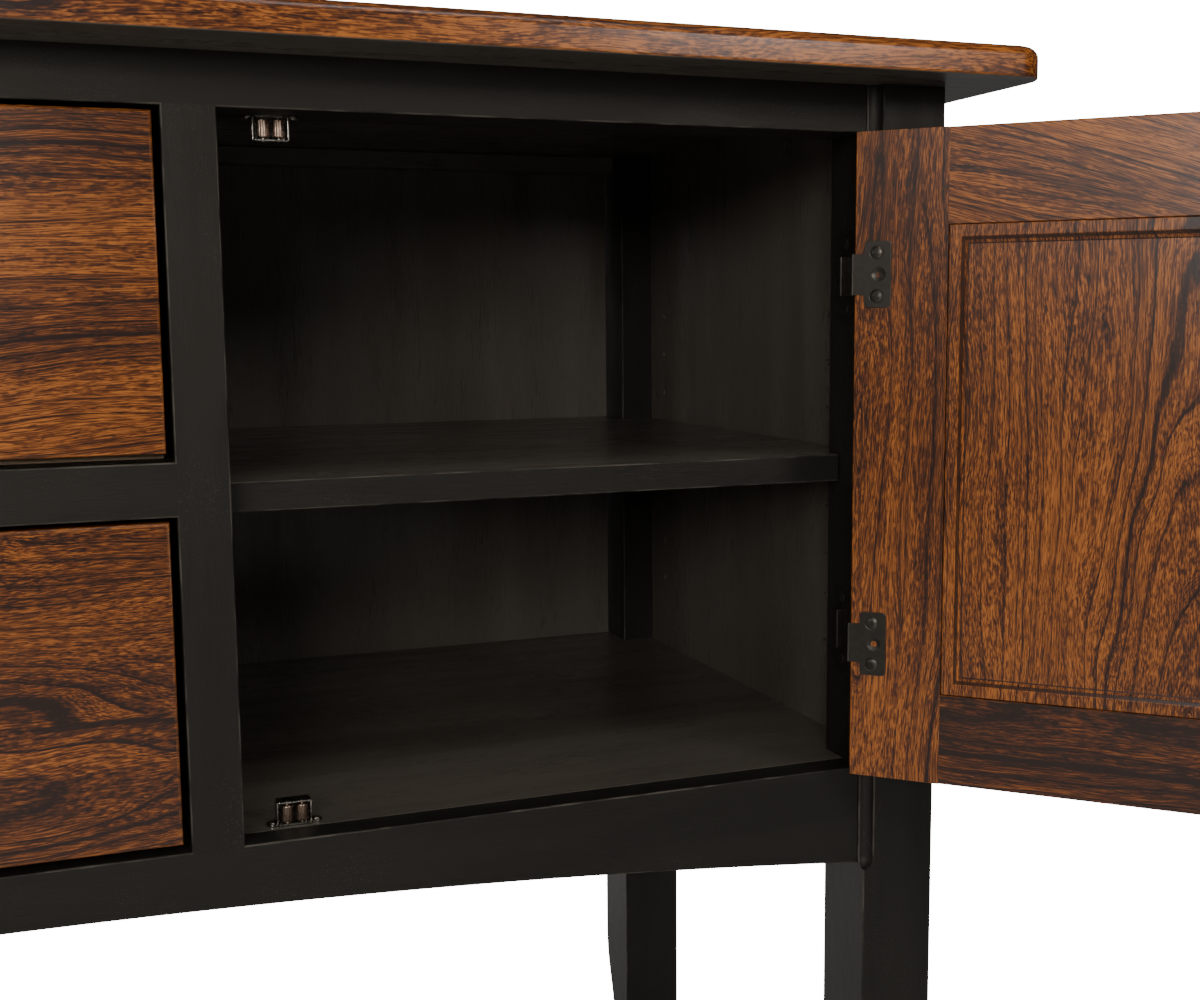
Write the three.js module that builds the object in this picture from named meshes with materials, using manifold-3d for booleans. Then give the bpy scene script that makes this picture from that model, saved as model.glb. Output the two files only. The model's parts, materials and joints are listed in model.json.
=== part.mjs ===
// Sideboard buffet: a case on four legs with two framed doors, two drawers between them,
// an adjustable shelf in each cupboard and an overhanging top. Millimetres, +Z up, +X to the
// right and -Y to the front. While it is being built, x = 0 is the middle of the case,
// y = 0 is the face of the front frame and z = 0 is the floor. The finished group is then
// moved so that the origin is the middle of its footprint, with the right door standing open.
import * as THREE from 'three';
import { mergeVertices } from 'three/addons/utils/BufferGeometryUtils.js';
import Module from 'manifold-3d';

// ---- Driving dimensions ----
const TOP_WIDTH = 1384;
const TOP_DEPTH = 508;
const HEIGHT = 820;
const TOP_THICKNESS = 19;
const TOP_CORNER_RADIUS = 20;
const OVERHANG_SIDE = 43;
const OVERHANG_FRONT = 45;
const OVERHANG_REAR = 3;

const LEG_WIDTH = 50;
const LEG_DEPTH = 50;
const LEG_PROUD = 8; // leg fronts stand this far in front of the frame face
const FOOT_DEPTH = 33; // depth of a leg at the floor
const FOOT_CURVE_HEIGHT = 100; // the curve into the foot starts this high
const FOOT_STRAIGHT = 6; // short upright stretch at the very bottom
const COVE_RADIUS = 7;

const OPENING_HEIGHT = 392; // clear height between the top and bottom rails
const TOP_RAIL_HEIGHT = 28;
const TOP_RAIL_DEPTH = 42;
const BOTTOM_RAIL_HEIGHT = 63.5; // at the legs
const ARCH_RISE = 33.5; // how far the middle of the lower edge is above its ends
const RAIL_THICKNESS = 20;
const DIVIDER_WIDTH = 28;
const DRAWER_RAIL_HEIGHT = 29;
const REAR_RAIL_HEIGHT = 14; // top rear rail, under the top

const PANEL_THICKNESS = 18;
const SIDE_PANEL_INSET = 5; // side panels lie this far inside the legs' outer faces
const BACK_THICKNESS = 8;
const BACK_INSET = 3;
const FLOOR_THICKNESS = 18;
const SHELF_THICKNESS = 17;
const SHELF_HEIGHT = 196; // top of the shelf above the case floor
const SHELF_SETBACK = 7; // behind the back of the front frame
const SHELF_CLEARANCE = 1.5;
const DUST_PANEL_THICKNESS = 12;

const DOOR_THICKNESS = 18;
const DOOR_GAP = 2;
const DOOR_HINGE_GAP = 2.3;
const DOOR_MEMBER = 55; // width of the stiles and rails
const DOOR_PANEL_THICKNESS = 12;
const DOOR_PANEL_RECESS = 3; // field of the panel behind the door's face
const RIGHT_DOOR_OPEN = THREE.MathUtils.degToRad(135);

const HINGE_AXIS_OUT = 2.3; // hinge pin in front of the frame face
const HINGE_BARREL_RADIUS = 1.9;
const HINGE_BARREL_LENGTH = 24;
const HINGE_KNUCKLE_GAP = 0.4;
const HINGE_LEAF = 0.7; // sheet thickness
const HINGE_FRAME_HEIGHT = 57;
const HINGE_FRAME_START = 9; // the frame leaf widens this far behind the frame face
const HINGE_FRAME_REACH = 32; // and ends here
const HINGE_DOOR_HEIGHT = 39;
const HINGE_DOOR_START = 2.5; // the door leaf widens this far from the door's edge
const HINGE_DOOR_REACH = 22; // how far the door leaf reaches over the door's back
const HINGE_INSET = 83; // hinge centre from the door's top and bottom edges

const CATCH_OFFSET = 31; // catch centre from the divider's edge
const CATCH_SETBACK = 26; // roller axes behind the frame face
const CATCH_PLATE_WIDTH = 31;
const CATCH_PLATE_DEPTH = 12;
const CATCH_HOUSING_WIDTH = 19;
const CATCH_SHEET = 1.2;
const ROLLER_RADIUS = 3.5;
const ROLLER_LENGTH = 10;
const ROLLER_SPACING = 8.4;
const ROLLER_CLEARANCE = 0.4;

const DRAWER_FRONT_THICKNESS = 19;
const DRAWER_SIDE_GAP = 4;
const DRAWER_TOP_GAP = 2.5;
const DRAWER_BOTTOM_GAP = 4.5;
const DRAWER_BOX_THICKNESS = 12;
const DRAWER_BOX_HEIGHT = 150;
const DRAWER_BOX_CLEARANCE = 4; // each side, to the opening
const DRAWER_BOX_BACK_GAP = 12;
const DRAWER_BOTTOM_THICKNESS = 6;
const DRAWER_BOTTOM_RAISE = 10;
const DRAWER_RUN_CLEARANCE = 0.6;

const KNOB_RADIUS = 15;
const KNOB_PROJECTION = 25;
const KNOB_NECK_RADIUS = 7;
const KNOB_NECK_LENGTH = 10;

const TOUCH = 0.3; // gap kept between pieces that meet

// ---- Places that follow from the dimensions ----
const caseHalf = TOP_WIDTH / 2 - OVERHANG_SIDE;
const legInner = caseHalf - LEG_WIDTH;
const bayWidth = (2 * legInner - 2 * DIVIDER_WIDTH) / 3;
const dividerInner = bayWidth / 2;
const dividerOuter = dividerInner + DIVIDER_WIDTH;
const caseFront = -LEG_PROUD;
const caseBack = TOP_DEPTH - OVERHANG_FRONT - OVERHANG_REAR - LEG_PROUD;
const frontLegBack = caseFront + LEG_DEPTH;
const rearLegFront = caseBack - LEG_DEPTH;
const topUnderside = HEIGHT - TOP_THICKNESS;
const openingTop = topUnderside - TOP_RAIL_HEIGHT;
const openingBottom = openingTop - OPENING_HEIGHT;
const railBottom = openingBottom - BOTTOM_RAIL_HEIGHT;
const sideOuter = caseHalf - SIDE_PANEL_INSET;
const sideInner = sideOuter - PANEL_THICKNESS;
const backInner = caseBack - BACK_INSET - BACK_THICKNESS;
const rearRailFront = backInner - RAIL_THICKNESS;
const rearRailBottom = topUnderside - REAR_RAIL_HEIGHT;
const partitionInner = (dividerInner + dividerOuter - PANEL_THICKNESS) / 2;
const partitionOuter = partitionInner + PANEL_THICKNESS;
const drawerRailBottom = (openingTop + openingBottom - DRAWER_RAIL_HEIGHT) / 2;
const drawerRailTop = drawerRailBottom + DRAWER_RAIL_HEIGHT;
const doorWidth = bayWidth - DOOR_GAP - DOOR_HINGE_GAP;
const doorBottom = openingBottom + DOOR_GAP;
const doorTop = openingTop - DOOR_GAP;

// ---- Materials ----
const material = (color, roughness, metalness) =>
  new THREE.MeshStandardMaterial({ color, roughness, metalness });
const blackWood = () => material(0x211e1b, 0.45, 0);
const elmWood = () => material(0x9a5a2e, 0.4, 0);
const drawerWood = () => material(0xc9a878, 0.6, 0);
const blackMetal = () => material(0x1a1816, 0.4, 0.8);
const nickel = () => material(0xa9a6a0, 0.3, 1);
const rollerMetal = () => material(0xb08060, 0.3, 1);

// ---- Geometry helpers ----
const wasm = await Module();
wasm.setup();

function positionsOnly(geometry) {
  const bare = geometry.clone();
  bare.deleteAttribute('normal');
  bare.deleteAttribute('uv');
  return bare;
}

function toSolid(geometry) {
  const merged = mergeVertices(positionsOnly(geometry), 1e-4);
  const mesh = new wasm.Mesh({
    numProp: 3,
    vertProperties: new Float32Array(merged.attributes.position.array),
    triVerts: new Uint32Array(merged.index.array),
  });
  return new wasm.Manifold(mesh);
}

function fromSolid(solid) {
  const mesh = solid.getMesh();
  const geometry = new THREE.BufferGeometry();
  geometry.setAttribute('position', new THREE.BufferAttribute(mesh.vertProperties, 3));
  geometry.setIndex(new THREE.BufferAttribute(mesh.triVerts, 1));
  geometry.computeVertexNormals();
  return geometry;
}

const union = (...pieces) => fromSolid(pieces.map(toSolid).reduce((sum, piece) => sum.add(piece)));
const cut = (body, ...tools) =>
  fromSolid(tools.map(toSolid).reduce((rest, tool) => rest.subtract(tool), toSolid(body)));

function block([x0, x1], [y0, y1], [z0, z1]) {
  const geometry = new THREE.BoxGeometry(x1 - x0, y1 - y0, z1 - z0);
  return geometry.translate((x0 + x1) / 2, (y0 + y1) / 2, (z0 + z1) / 2);
}

// An outline drawn in one plane and extruded between two places on the axis across it.
const PLANES = {
  xy: new THREE.Matrix4(),
  yz: new THREE.Matrix4().makeBasis(
    new THREE.Vector3(0, 1, 0), new THREE.Vector3(0, 0, 1), new THREE.Vector3(1, 0, 0)),
  zx: new THREE.Matrix4().makeBasis(
    new THREE.Vector3(0, 0, 1), new THREE.Vector3(1, 0, 0), new THREE.Vector3(0, 1, 0)),
};

function extrude(outline, plane, from, to, curveSegments = 8) {
  const shape = outline instanceof THREE.Shape ? outline : new THREE.Shape(
    outline.map(([u, v]) => new THREE.Vector2(u, v)));
  const options = { depth: to - from, bevelEnabled: false, curveSegments };
  const geometry = new THREE.ExtrudeGeometry(shape, options);
  return geometry.translate(0, 0, from).applyMatrix4(PLANES[plane]);
}

function upright(radius, x, y, z0, z1, sides) {
  const geometry = new THREE.CylinderGeometry(radius, radius, z1 - z0, sides);
  return geometry.rotateX(Math.PI / 2).translate(x, y, (z0 + z1) / 2);
}

// The same shape reflected in the plane x = 0, with its faces still pointing out.
function mirrorX(geometry) {
  const mirrored = mergeVertices(positionsOnly(geometry), 1e-4).scale(-1, 1, 1);
  const index = mirrored.index.array;
  for (let i = 0; i < index.length; i += 3) {
    [index[i + 1], index[i + 2]] = [index[i + 2], index[i + 1]];
  }
  return mirrored;
}

const SIDES = [
  { label: 'left', sign: -1 },
  { label: 'right', sign: 1 },
];
const onSide = (geometry, sign) => (sign > 0 ? geometry : mirrorX(geometry));

const sideboard = new THREE.Group();

function add(name, geometry, finish, parent = sideboard) {
  const mesh = new THREE.Mesh(geometry, finish);
  mesh.name = name;
  parent.add(mesh);
  return mesh;
}

// ---- Top ----
function tabletop() {
  const half = TOP_WIDTH / 2;
  const front = caseFront - OVERHANG_FRONT;
  const back = front + TOP_DEPTH;
  const radius = TOP_CORNER_RADIUS;
  const shape = new THREE.Shape();
  shape.moveTo(-half + radius, front);
  shape.lineTo(half - radius, front);
  shape.absarc(half - radius, front + radius, radius, -Math.PI / 2, 0, false);
  shape.lineTo(half, back - radius);
  shape.absarc(half - radius, back - radius, radius, 0, Math.PI / 2, false);
  shape.lineTo(-half + radius, back);
  shape.absarc(-half + radius, back - radius, radius, Math.PI / 2, Math.PI, false);
  shape.lineTo(-half, front + radius);
  shape.absarc(-half + radius, front + radius, radius, Math.PI, 1.5 * Math.PI, false);
  add('tabletop', extrude(shape, 'xy', topUnderside, HEIGHT), elmWood());
}

// ---- Legs: straight, with the outward face swept in to a slimmer foot ----
function legOutline(outwardFace, innerFace) {
  const inward = Math.sign(innerFace - outwardFace);
  const sweep = (LEG_DEPTH - FOOT_DEPTH) * inward;
  const middle = (FOOT_CURVE_HEIGHT + FOOT_STRAIGHT) / 2;
  const shape = new THREE.Shape();
  shape.moveTo(innerFace, 0);
  shape.lineTo(innerFace, topUnderside - TOUCH);
  shape.lineTo(outwardFace, topUnderside - TOUCH);
  shape.lineTo(outwardFace, FOOT_CURVE_HEIGHT);
  shape.bezierCurveTo(
    outwardFace, middle, outwardFace + sweep, middle, outwardFace + sweep, FOOT_STRAIGHT);
  shape.lineTo(outwardFace + sweep, 0);
  shape.closePath();
  return shape;
}

// Stopped cove along a front leg's inner front arris, with a ball-nosed lower end.
function coveCutter() {
  const rod = upright(COVE_RADIUS, legInner, caseFront, railBottom, HEIGHT, 24);
  const nose = new THREE.SphereGeometry(COVE_RADIUS, 24, 12);
  nose.rotateX(Math.PI / 2).translate(legInner, caseFront, railBottom);
  return union(rod, nose);
}

function legs() {
  const cove = coveCutter();
  const frontBlank = extrude(legOutline(caseFront, frontLegBack), 'yz', legInner, caseHalf);
  const rear = extrude(legOutline(caseBack, rearLegFront), 'yz', legInner, caseHalf);
  const front = cut(frontBlank, cove);
  for (const { label, sign } of SIDES) {
    add(`leg_front_${label}`, onSide(front, sign), blackWood());
    add(`leg_rear_${label}`, onSide(rear, sign), blackWood());
  }
}

// ---- Front frame ----
function archedRail() {
  const half = legInner - TOUCH;
  const radius = (half ** 2 + ARCH_RISE ** 2) / (2 * ARCH_RISE);
  const sweep = Math.asin(half / radius);
  const shape = new THREE.Shape();
  const crownToCentre = railBottom + ARCH_RISE - radius;
  shape.moveTo(openingBottom, -half);
  shape.lineTo(railBottom, -half);
  shape.absarc(crownToCentre, 0, radius, -sweep, sweep, false);
  shape.lineTo(openingBottom, half);
  shape.closePath();
  return extrude(shape, 'zx', 0, RAIL_THICKNESS, 24);
}

function frontFrame() {
  const across = [-legInner + TOUCH, legInner - TOUCH];
  const upper = block(across, [0, TOP_RAIL_DEPTH], [openingTop, topUnderside - TOUCH]);
  add('rail_front_top', upper, blackWood());
  add('rail_front_bottom', archedRail(), blackWood());
  const divider = block(
    [dividerInner, dividerOuter], [0, RAIL_THICKNESS], [openingBottom + TOUCH, openingTop - TOUCH]);
  for (const { label, sign } of SIDES) {
    add(`divider_${label}`, onSide(divider, sign), blackWood());
  }
  const drawerRail = block(
    [-dividerInner + TOUCH, dividerInner - TOUCH], [0, RAIL_THICKNESS],
    [drawerRailBottom, drawerRailTop]);
  add('rail_drawer', drawerRail, blackWood());
}

// ---- Case ----
// The case floor, notched round the four legs.
function caseFloor() {
  const front = RAIL_THICKNESS + TOUCH;
  const back = backInner - TOUCH;
  const wide = sideInner - TOUCH;
  const narrow = legInner - TOUCH;
  const notchFront = frontLegBack + TOUCH;
  const notchBack = rearLegFront - TOUCH;
  const right = [
    [narrow, front], [narrow, notchFront], [wide, notchFront],
    [wide, notchBack], [narrow, notchBack], [narrow, back],
  ];
  const left = right.map(([x, y]) => [-x, y]).reverse();
  return extrude([...right, ...left], 'xy', openingBottom - FLOOR_THICKNESS, openingBottom);
}

function partition() {
  const front = RAIL_THICKNESS + TOUCH;
  const back = backInner - TOUCH;
  const low = openingBottom + TOUCH;
  const high = topUnderside - TOUCH;
  const underTopRail = openingTop - TOUCH;
  const behindTopRail = TOP_RAIL_DEPTH + TOUCH;
  const underRearRail = rearRailBottom - TOUCH;
  const beforeRearRail = rearRailFront - TOUCH;
  const outline = [
    [front, low], [back, low], [back, underRearRail], [beforeRearRail, underRearRail],
    [beforeRearRail, high], [behindTopRail, high], [behindTopRail, underTopRail],
    [front, underTopRail],
  ];
  return extrude(outline, 'yz', partitionInner, partitionOuter);
}

function caseBoards() {
  const betweenLegs = [-legInner + TOUCH, legInner - TOUCH];
  const side = block(
    [sideInner, sideOuter], [frontLegBack + TOUCH, rearLegFront - TOUCH],
    [railBottom, topUnderside - TOUCH]);
  const wall = partition();
  for (const { label, sign } of SIDES) {
    add(`side_panel_${label}`, onSide(side, sign), blackWood());
    add(`partition_${label}`, onSide(wall, sign), blackWood());
  }
  add('back_panel', block(
    betweenLegs, [backInner, backInner + BACK_THICKNESS], [railBottom, topUnderside - TOUCH]),
    blackWood());
  const rearRail = [rearRailFront, backInner - TOUCH];
  const upper = block(betweenLegs, rearRail, [rearRailBottom, topUnderside - TOUCH]);
  const underFloor = openingBottom - FLOOR_THICKNESS - TOUCH;
  add('rail_rear_top', upper, blackWood());
  add('rail_rear_bottom', block(betweenLegs, rearRail, [railBottom, underFloor]), blackWood());
  add('case_floor', caseFloor(), blackWood());
  add('dust_panel', block(
    [-partitionInner + TOUCH, partitionInner - TOUCH], [RAIL_THICKNESS + TOUCH, backInner - TOUCH],
    [drawerRailTop - DUST_PANEL_THICKNESS, drawerRailTop]), blackWood());
}

// The shelf fills the cupboard from the partition to the side panel, notched round the legs.
function shelves() {
  const top = openingBottom + SHELF_HEIGHT;
  const near = partitionOuter + SHELF_CLEARANCE;
  const wide = sideInner - SHELF_CLEARANCE;
  const narrow = legInner - SHELF_CLEARANCE;
  const front = RAIL_THICKNESS + SHELF_SETBACK;
  const back = backInner - SHELF_CLEARANCE;
  const notchFront = frontLegBack + SHELF_CLEARANCE;
  const notchBack = rearLegFront - SHELF_CLEARANCE;
  const outline = [
    [near, front], [narrow, front], [narrow, notchFront], [wide, notchFront],
    [wide, notchBack], [narrow, notchBack], [narrow, back], [near, back],
  ];
  const board = extrude(outline, 'xy', top - SHELF_THICKNESS, top);
  for (const { label, sign } of SIDES) {
    add(`shelf_${label}`, onSide(board, sign), blackWood());
  }
}

// ---- Knob, turned, pointing to the front; its face meets y = 0 ----
function knobGeometry() {
  const profile = new THREE.Path();
  const base = KNOB_PROJECTION - KNOB_NECK_LENGTH;
  profile.moveTo(0, 0);
  profile.lineTo(KNOB_NECK_RADIUS, 0);
  profile.lineTo(KNOB_NECK_RADIUS, KNOB_NECK_LENGTH);
  profile.lineTo(KNOB_RADIUS, KNOB_NECK_LENGTH + base * 0.4);
  profile.bezierCurveTo(
    KNOB_RADIUS, KNOB_PROJECTION - base * 0.2, KNOB_RADIUS * 0.6, KNOB_PROJECTION,
    0, KNOB_PROJECTION);
  return new THREE.LatheGeometry(profile.getPoints(6), 20).rotateX(Math.PI);
}

// ---- Doors, drawn closed about the hinge axis and then turned open ----
const hingeX = legInner - DOOR_HINGE_GAP;
const hingeY = -HINGE_AXIS_OUT;
const hingeHeights = { top: doorTop - HINGE_INSET, bottom: doorBottom + HINGE_INSET };

function doorPieces() {
  const outer = hingeX; // the hinge edge
  const inner = outer - doorWidth; // the free edge
  const depth = [0, DOOR_THICKNESS];
  const between = [inner + DOOR_MEMBER + TOUCH, outer - DOOR_MEMBER - TOUCH];
  const fieldHeight = [doorBottom + DOOR_MEMBER + TOUCH, doorTop - DOOR_MEMBER - TOUCH];
  const panelDepth = [DOOR_PANEL_RECESS, DOOR_PANEL_RECESS + DOOR_PANEL_THICKNESS];
  const knob = knobGeometry();
  knob.translate(inner + DOOR_MEMBER / 2, -TOUCH, (doorTop + doorBottom) / 2);
  return {
    stile_hinge: [block([outer - DOOR_MEMBER, outer], depth, [doorBottom, doorTop]), elmWood()],
    stile_latch: [block([inner, inner + DOOR_MEMBER], depth, [doorBottom, doorTop]), elmWood()],
    rail_top: [block(between, depth, [doorTop - DOOR_MEMBER, doorTop]), elmWood()],
    rail_bottom: [block(between, depth, [doorBottom, doorBottom + DOOR_MEMBER]), elmWood()],
    panel: [block(between, panelDepth, fieldHeight), elmWood()],
    knob: [knob, blackMetal()],
  };
}

function knuckle(z, from, to) {
  return upright(HINGE_BARREL_RADIUS, hingeX, hingeY, z + from, z + to, 16);
}

// Frame leaf: flat on the leg's inner face, carrying the middle knuckle.
function frameLeaf(z) {
  const half = HINGE_FRAME_HEIGHT / 2;
  const third = HINGE_BARREL_LENGTH / 6;
  const outer = legInner - TOUCH;
  const sheet = [outer - HINGE_LEAF, outer];
  const plate = block(sheet, [HINGE_FRAME_START, HINGE_FRAME_REACH], [z - half, z + half]);
  const tongue = block(sheet, [hingeY, HINGE_FRAME_START + HINGE_LEAF], [z - third, z + third]);
  return union(plate, tongue, knuckle(z, -third, third));
}

// Door leaf: wraps the door's hinge edge and lies on its back, with the two outer knuckles.
function doorLeaf(z) {
  const half = HINGE_DOOR_HEIGHT / 2;
  const end = HINGE_BARREL_LENGTH / 2;
  const third = HINGE_BARREL_LENGTH / 6 + HINGE_KNUCKLE_GAP;
  const edge = hingeX + TOUCH;
  const sheet = [edge, edge + HINGE_LEAF];
  const back = DOOR_THICKNESS + TOUCH;
  const sheetBack = [back, back + HINGE_LEAF];
  const plateStart = hingeX - HINGE_DOOR_START;
  const wrap = block(sheet, [0, back + HINGE_LEAF], [z - end, z + end]);
  const tongueUp = block(sheet, [hingeY, HINGE_LEAF], [z + third, z + end]);
  const tongueDown = block(sheet, [hingeY, HINGE_LEAF], [z - end, z - third]);
  const neck = block([plateStart - 1, edge + HINGE_LEAF], sheetBack, [z - end, z + end]);
  const plate = block([hingeX - HINGE_DOOR_REACH, plateStart], sheetBack, [z - half, z + half]);
  return union(
    wrap, tongueUp, tongueDown, neck, plate, knuckle(z, third, end), knuckle(z, -end, -third));
}

function doors() {
  const pieces = doorPieces();
  for (const { label, sign } of SIDES) {
    const open = label === 'right' ? RIGHT_DOOR_OPEN : 0;
    const hinge = new THREE.Group();
    hinge.position.set(sign * hingeX, hingeY, 0);
    hinge.rotation.z = open;
    sideboard.add(hinge);
    const onDoor = (geometry) =>
      onSide(geometry, sign).clone().translate(-sign * hingeX, -hingeY, 0);
    for (const [piece, [geometry, finish]] of Object.entries(pieces)) {
      add(`door_${label}_${piece}`, onDoor(geometry), finish, hinge);
    }
    for (const [place, z] of Object.entries(hingeHeights)) {
      add(`hinge_${label}_${place}_door_leaf`, onDoor(doorLeaf(z)), blackMetal(), hinge);
      add(`hinge_${label}_${place}_frame_leaf`, onSide(frameLeaf(z), sign), blackMetal());
    }
  }
}

// ---- Double-roller catches, one under the top rail and one on the case floor ----
// Drawn standing on z = 0 at its own centre, with the rollers to the front.
function catchBody(joined) {
  const wide = CATCH_PLATE_WIDTH / 2;
  const narrow = CATCH_HOUSING_WIDTH / 2;
  const back = CATCH_PLATE_DEPTH / 2;
  const capBase = CATCH_SHEET + ROLLER_LENGTH + 2 * ROLLER_CLEARANCE;
  const plate = block([-wide, wide], [-back, back], [0, CATCH_SHEET]);
  const wall = block([-narrow, narrow], [back - CATCH_SHEET, back], [0, capBase + CATCH_SHEET]);
  const cap = block([-narrow, narrow], [-back, back], [capBase, capBase + CATCH_SHEET]);
  const pieces = [plate, wall, cap];
  if (joined) {
    for (const side of [-1, 1]) {
      pieces.push(upright(ROLLER_RADIUS, side * ROLLER_SPACING / 2, rollerY, 0, capBase + 1, 12));
    }
  }
  return union(...pieces);
}

const rollerY = -(CATCH_PLATE_DEPTH / 2 - ROLLER_RADIUS);

function catches() {
  const places = {
    top: { z: openingTop - TOUCH, turn: -1 },
    bottom: { z: openingBottom + TOUCH, turn: 1 },
  };
  for (const { label, sign } of SIDES) {
    const apart = label === 'right';
    for (const [place, { z, turn }] of Object.entries(places)) {
      const spot = new THREE.Group();
      spot.position.set(sign * (dividerOuter + CATCH_OFFSET), CATCH_SETBACK - rollerY, z);
      sideboard.add(spot);
      const body = catchBody(!apart);
      add(`catch_${label}_${place}`, turned(body, turn), nickel(), spot);
      const rollerBase = CATCH_SHEET + ROLLER_CLEARANCE;
      for (const side of apart ? SIDES : []) {
        const roller = upright(
          ROLLER_RADIUS, side.sign * ROLLER_SPACING / 2, rollerY,
          rollerBase, rollerBase + ROLLER_LENGTH, 12);
        const name = `catch_${label}_${place}_roller_${side.label}`;
        add(name, turned(roller, turn), rollerMetal(), spot);
      }
    }
  }
}

// The upper catches hang upside down: the same shape reflected in the floor plane.
function turned(geometry, turn) {
  return turn > 0 ? geometry : mirrorX(geometry.clone().rotateY(Math.PI));
}

// ---- Drawers ----
function drawer(label, low, high) {
  const half = dividerInner - DRAWER_SIDE_GAP;
  const face = block(
    [-half, half], [0, DRAWER_FRONT_THICKNESS], [low + DRAWER_BOTTOM_GAP, high - DRAWER_TOP_GAP]);
  add(`drawer_${label}_front`, face, elmWood());
  const outer = dividerInner - DRAWER_BOX_CLEARANCE;
  const inner = outer - DRAWER_BOX_THICKNESS;
  const front = DRAWER_FRONT_THICKNESS + TOUCH;
  const back = backInner - DRAWER_BOX_BACK_GAP;
  const backInside = back - DRAWER_BOX_THICKNESS;
  const base = low + DRAWER_RUN_CLEARANCE;
  const outline = [
    [-outer, front], [-inner, front], [-inner, backInside], [inner, backInside],
    [inner, front], [outer, front], [outer, back], [-outer, back],
  ];
  add(`drawer_${label}_box`, extrude(outline, 'xy', base, base + DRAWER_BOX_HEIGHT), drawerWood());
  const bottomLow = base + DRAWER_BOTTOM_RAISE;
  add(`drawer_${label}_bottom`, block(
    [-inner + TOUCH, inner - TOUCH], [front, backInside - TOUCH],
    [bottomLow, bottomLow + DRAWER_BOTTOM_THICKNESS]), drawerWood());
  const knob = knobGeometry().translate(0, -TOUCH, (low + high) / 2);
  add(`drawer_${label}_knob`, knob, blackMetal());
}

tabletop();
legs();
frontFrame();
caseBoards();
shelves();
doors();
catches();
drawer('upper', drawerRailTop, openingTop);
drawer('lower', openingBottom, drawerRailBottom);

// ---- Origin: the middle of the footprint, on the floor ----
sideboard.updateMatrixWorld(true);
const extent = new THREE.Box3().setFromObject(sideboard, true);
sideboard.position.x = -(extent.min.x + extent.max.x) / 2;
sideboard.position.y = -(extent.min.y + extent.max.y) / 2;
sideboard.updateMatrixWorld(true);

export default sideboard;
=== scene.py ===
"""Sideboard buffet: its finished pieces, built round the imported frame."""
import json
from math import asin, atan2, cos, pi, radians, sin, sqrt, tan

import bmesh
import bpy
from mathutils import Matrix, Vector


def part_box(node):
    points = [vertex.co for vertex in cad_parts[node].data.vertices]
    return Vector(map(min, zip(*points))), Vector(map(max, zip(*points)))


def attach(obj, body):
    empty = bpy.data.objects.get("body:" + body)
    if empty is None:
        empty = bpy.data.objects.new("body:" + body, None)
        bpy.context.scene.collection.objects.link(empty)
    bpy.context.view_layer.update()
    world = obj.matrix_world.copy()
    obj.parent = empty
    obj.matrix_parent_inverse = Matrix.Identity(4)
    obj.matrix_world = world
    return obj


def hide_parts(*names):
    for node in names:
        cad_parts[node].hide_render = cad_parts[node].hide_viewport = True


bl_info = {
    "name": "Sideboard buffet",
    "version": (1, 0, 0),
    "blender": (4, 5, 0),
    "location": "View3D > Sidebar > Sideboard",
    "description": "Builds the finished pieces of a sideboard buffet round its frame",
    "category": "Object",
}

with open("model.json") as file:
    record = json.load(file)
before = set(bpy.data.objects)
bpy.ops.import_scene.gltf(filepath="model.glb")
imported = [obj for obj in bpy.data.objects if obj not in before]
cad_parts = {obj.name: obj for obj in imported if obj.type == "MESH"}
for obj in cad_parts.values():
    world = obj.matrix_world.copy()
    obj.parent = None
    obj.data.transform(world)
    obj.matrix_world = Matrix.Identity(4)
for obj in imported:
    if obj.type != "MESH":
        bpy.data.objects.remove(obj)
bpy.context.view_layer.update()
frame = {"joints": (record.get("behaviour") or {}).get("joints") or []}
MM = 0.001
X, Y, Z = 0, 1, 2
CASE = "case"
TOUCH = 0.0003  # a small shift for a face that meets another


# ---- Places read from the frame ----
def low_of(node):
    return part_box(node)[0]


def high_of(node):
    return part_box(node)[1]


def joint(name):
    return next(j for j in frame["joints"] if j["name"] == name)


CASE_MIDDLE = (low_of("rail_front_top").x + high_of("rail_front_top").x) / 2
FRAME_FACE = low_of("divider_left").y
OPENING_TOP = low_of("rail_front_top").z
OPENING_BOTTOM = high_of("rail_front_bottom").z
TOP_UNDERSIDE = low_of("tabletop").z
PIN_LEFT = Vector(joint("door_left_hinge")["pos_m"])
PIN_RIGHT = Vector(joint("door_right_hinge")["pos_m"])
DOOR_OPEN = radians(-joint("door_right_hinge")["range_deg"][0])
DOOR_BACK = high_of("door_left_stile_hinge").y

TO_RIGHT = (
    Matrix.Translation((2 * CASE_MIDDLE, 0, 0)) @ Matrix.Diagonal((-1, 1, 1, 1))
)
SIDES = {"left": Matrix.Identity(4), "right": TO_RIGHT}
OPENED = (
    Matrix.Translation(PIN_RIGHT) @ Matrix.Rotation(DOOR_OPEN, 4, "Z")
    @ Matrix.Translation(-PIN_RIGHT)
)
DOOR_TURN = {"left": Matrix.Identity(4), "right": OPENED @ TO_RIGHT}


# ---- Sizes, colours and stage that a user would change ----
def length(name, description, millimetres):
    return bpy.props.FloatProperty(
        name=name, description=description, default=millimetres * MM,
        min=0, unit="LENGTH", precision=4)


def colour(name, description, red, green, blue):
    return bpy.props.FloatVectorProperty(
        name=name, description=description, default=(red, green, blue),
        min=0, max=1, subtype="COLOR", size=3)


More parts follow.
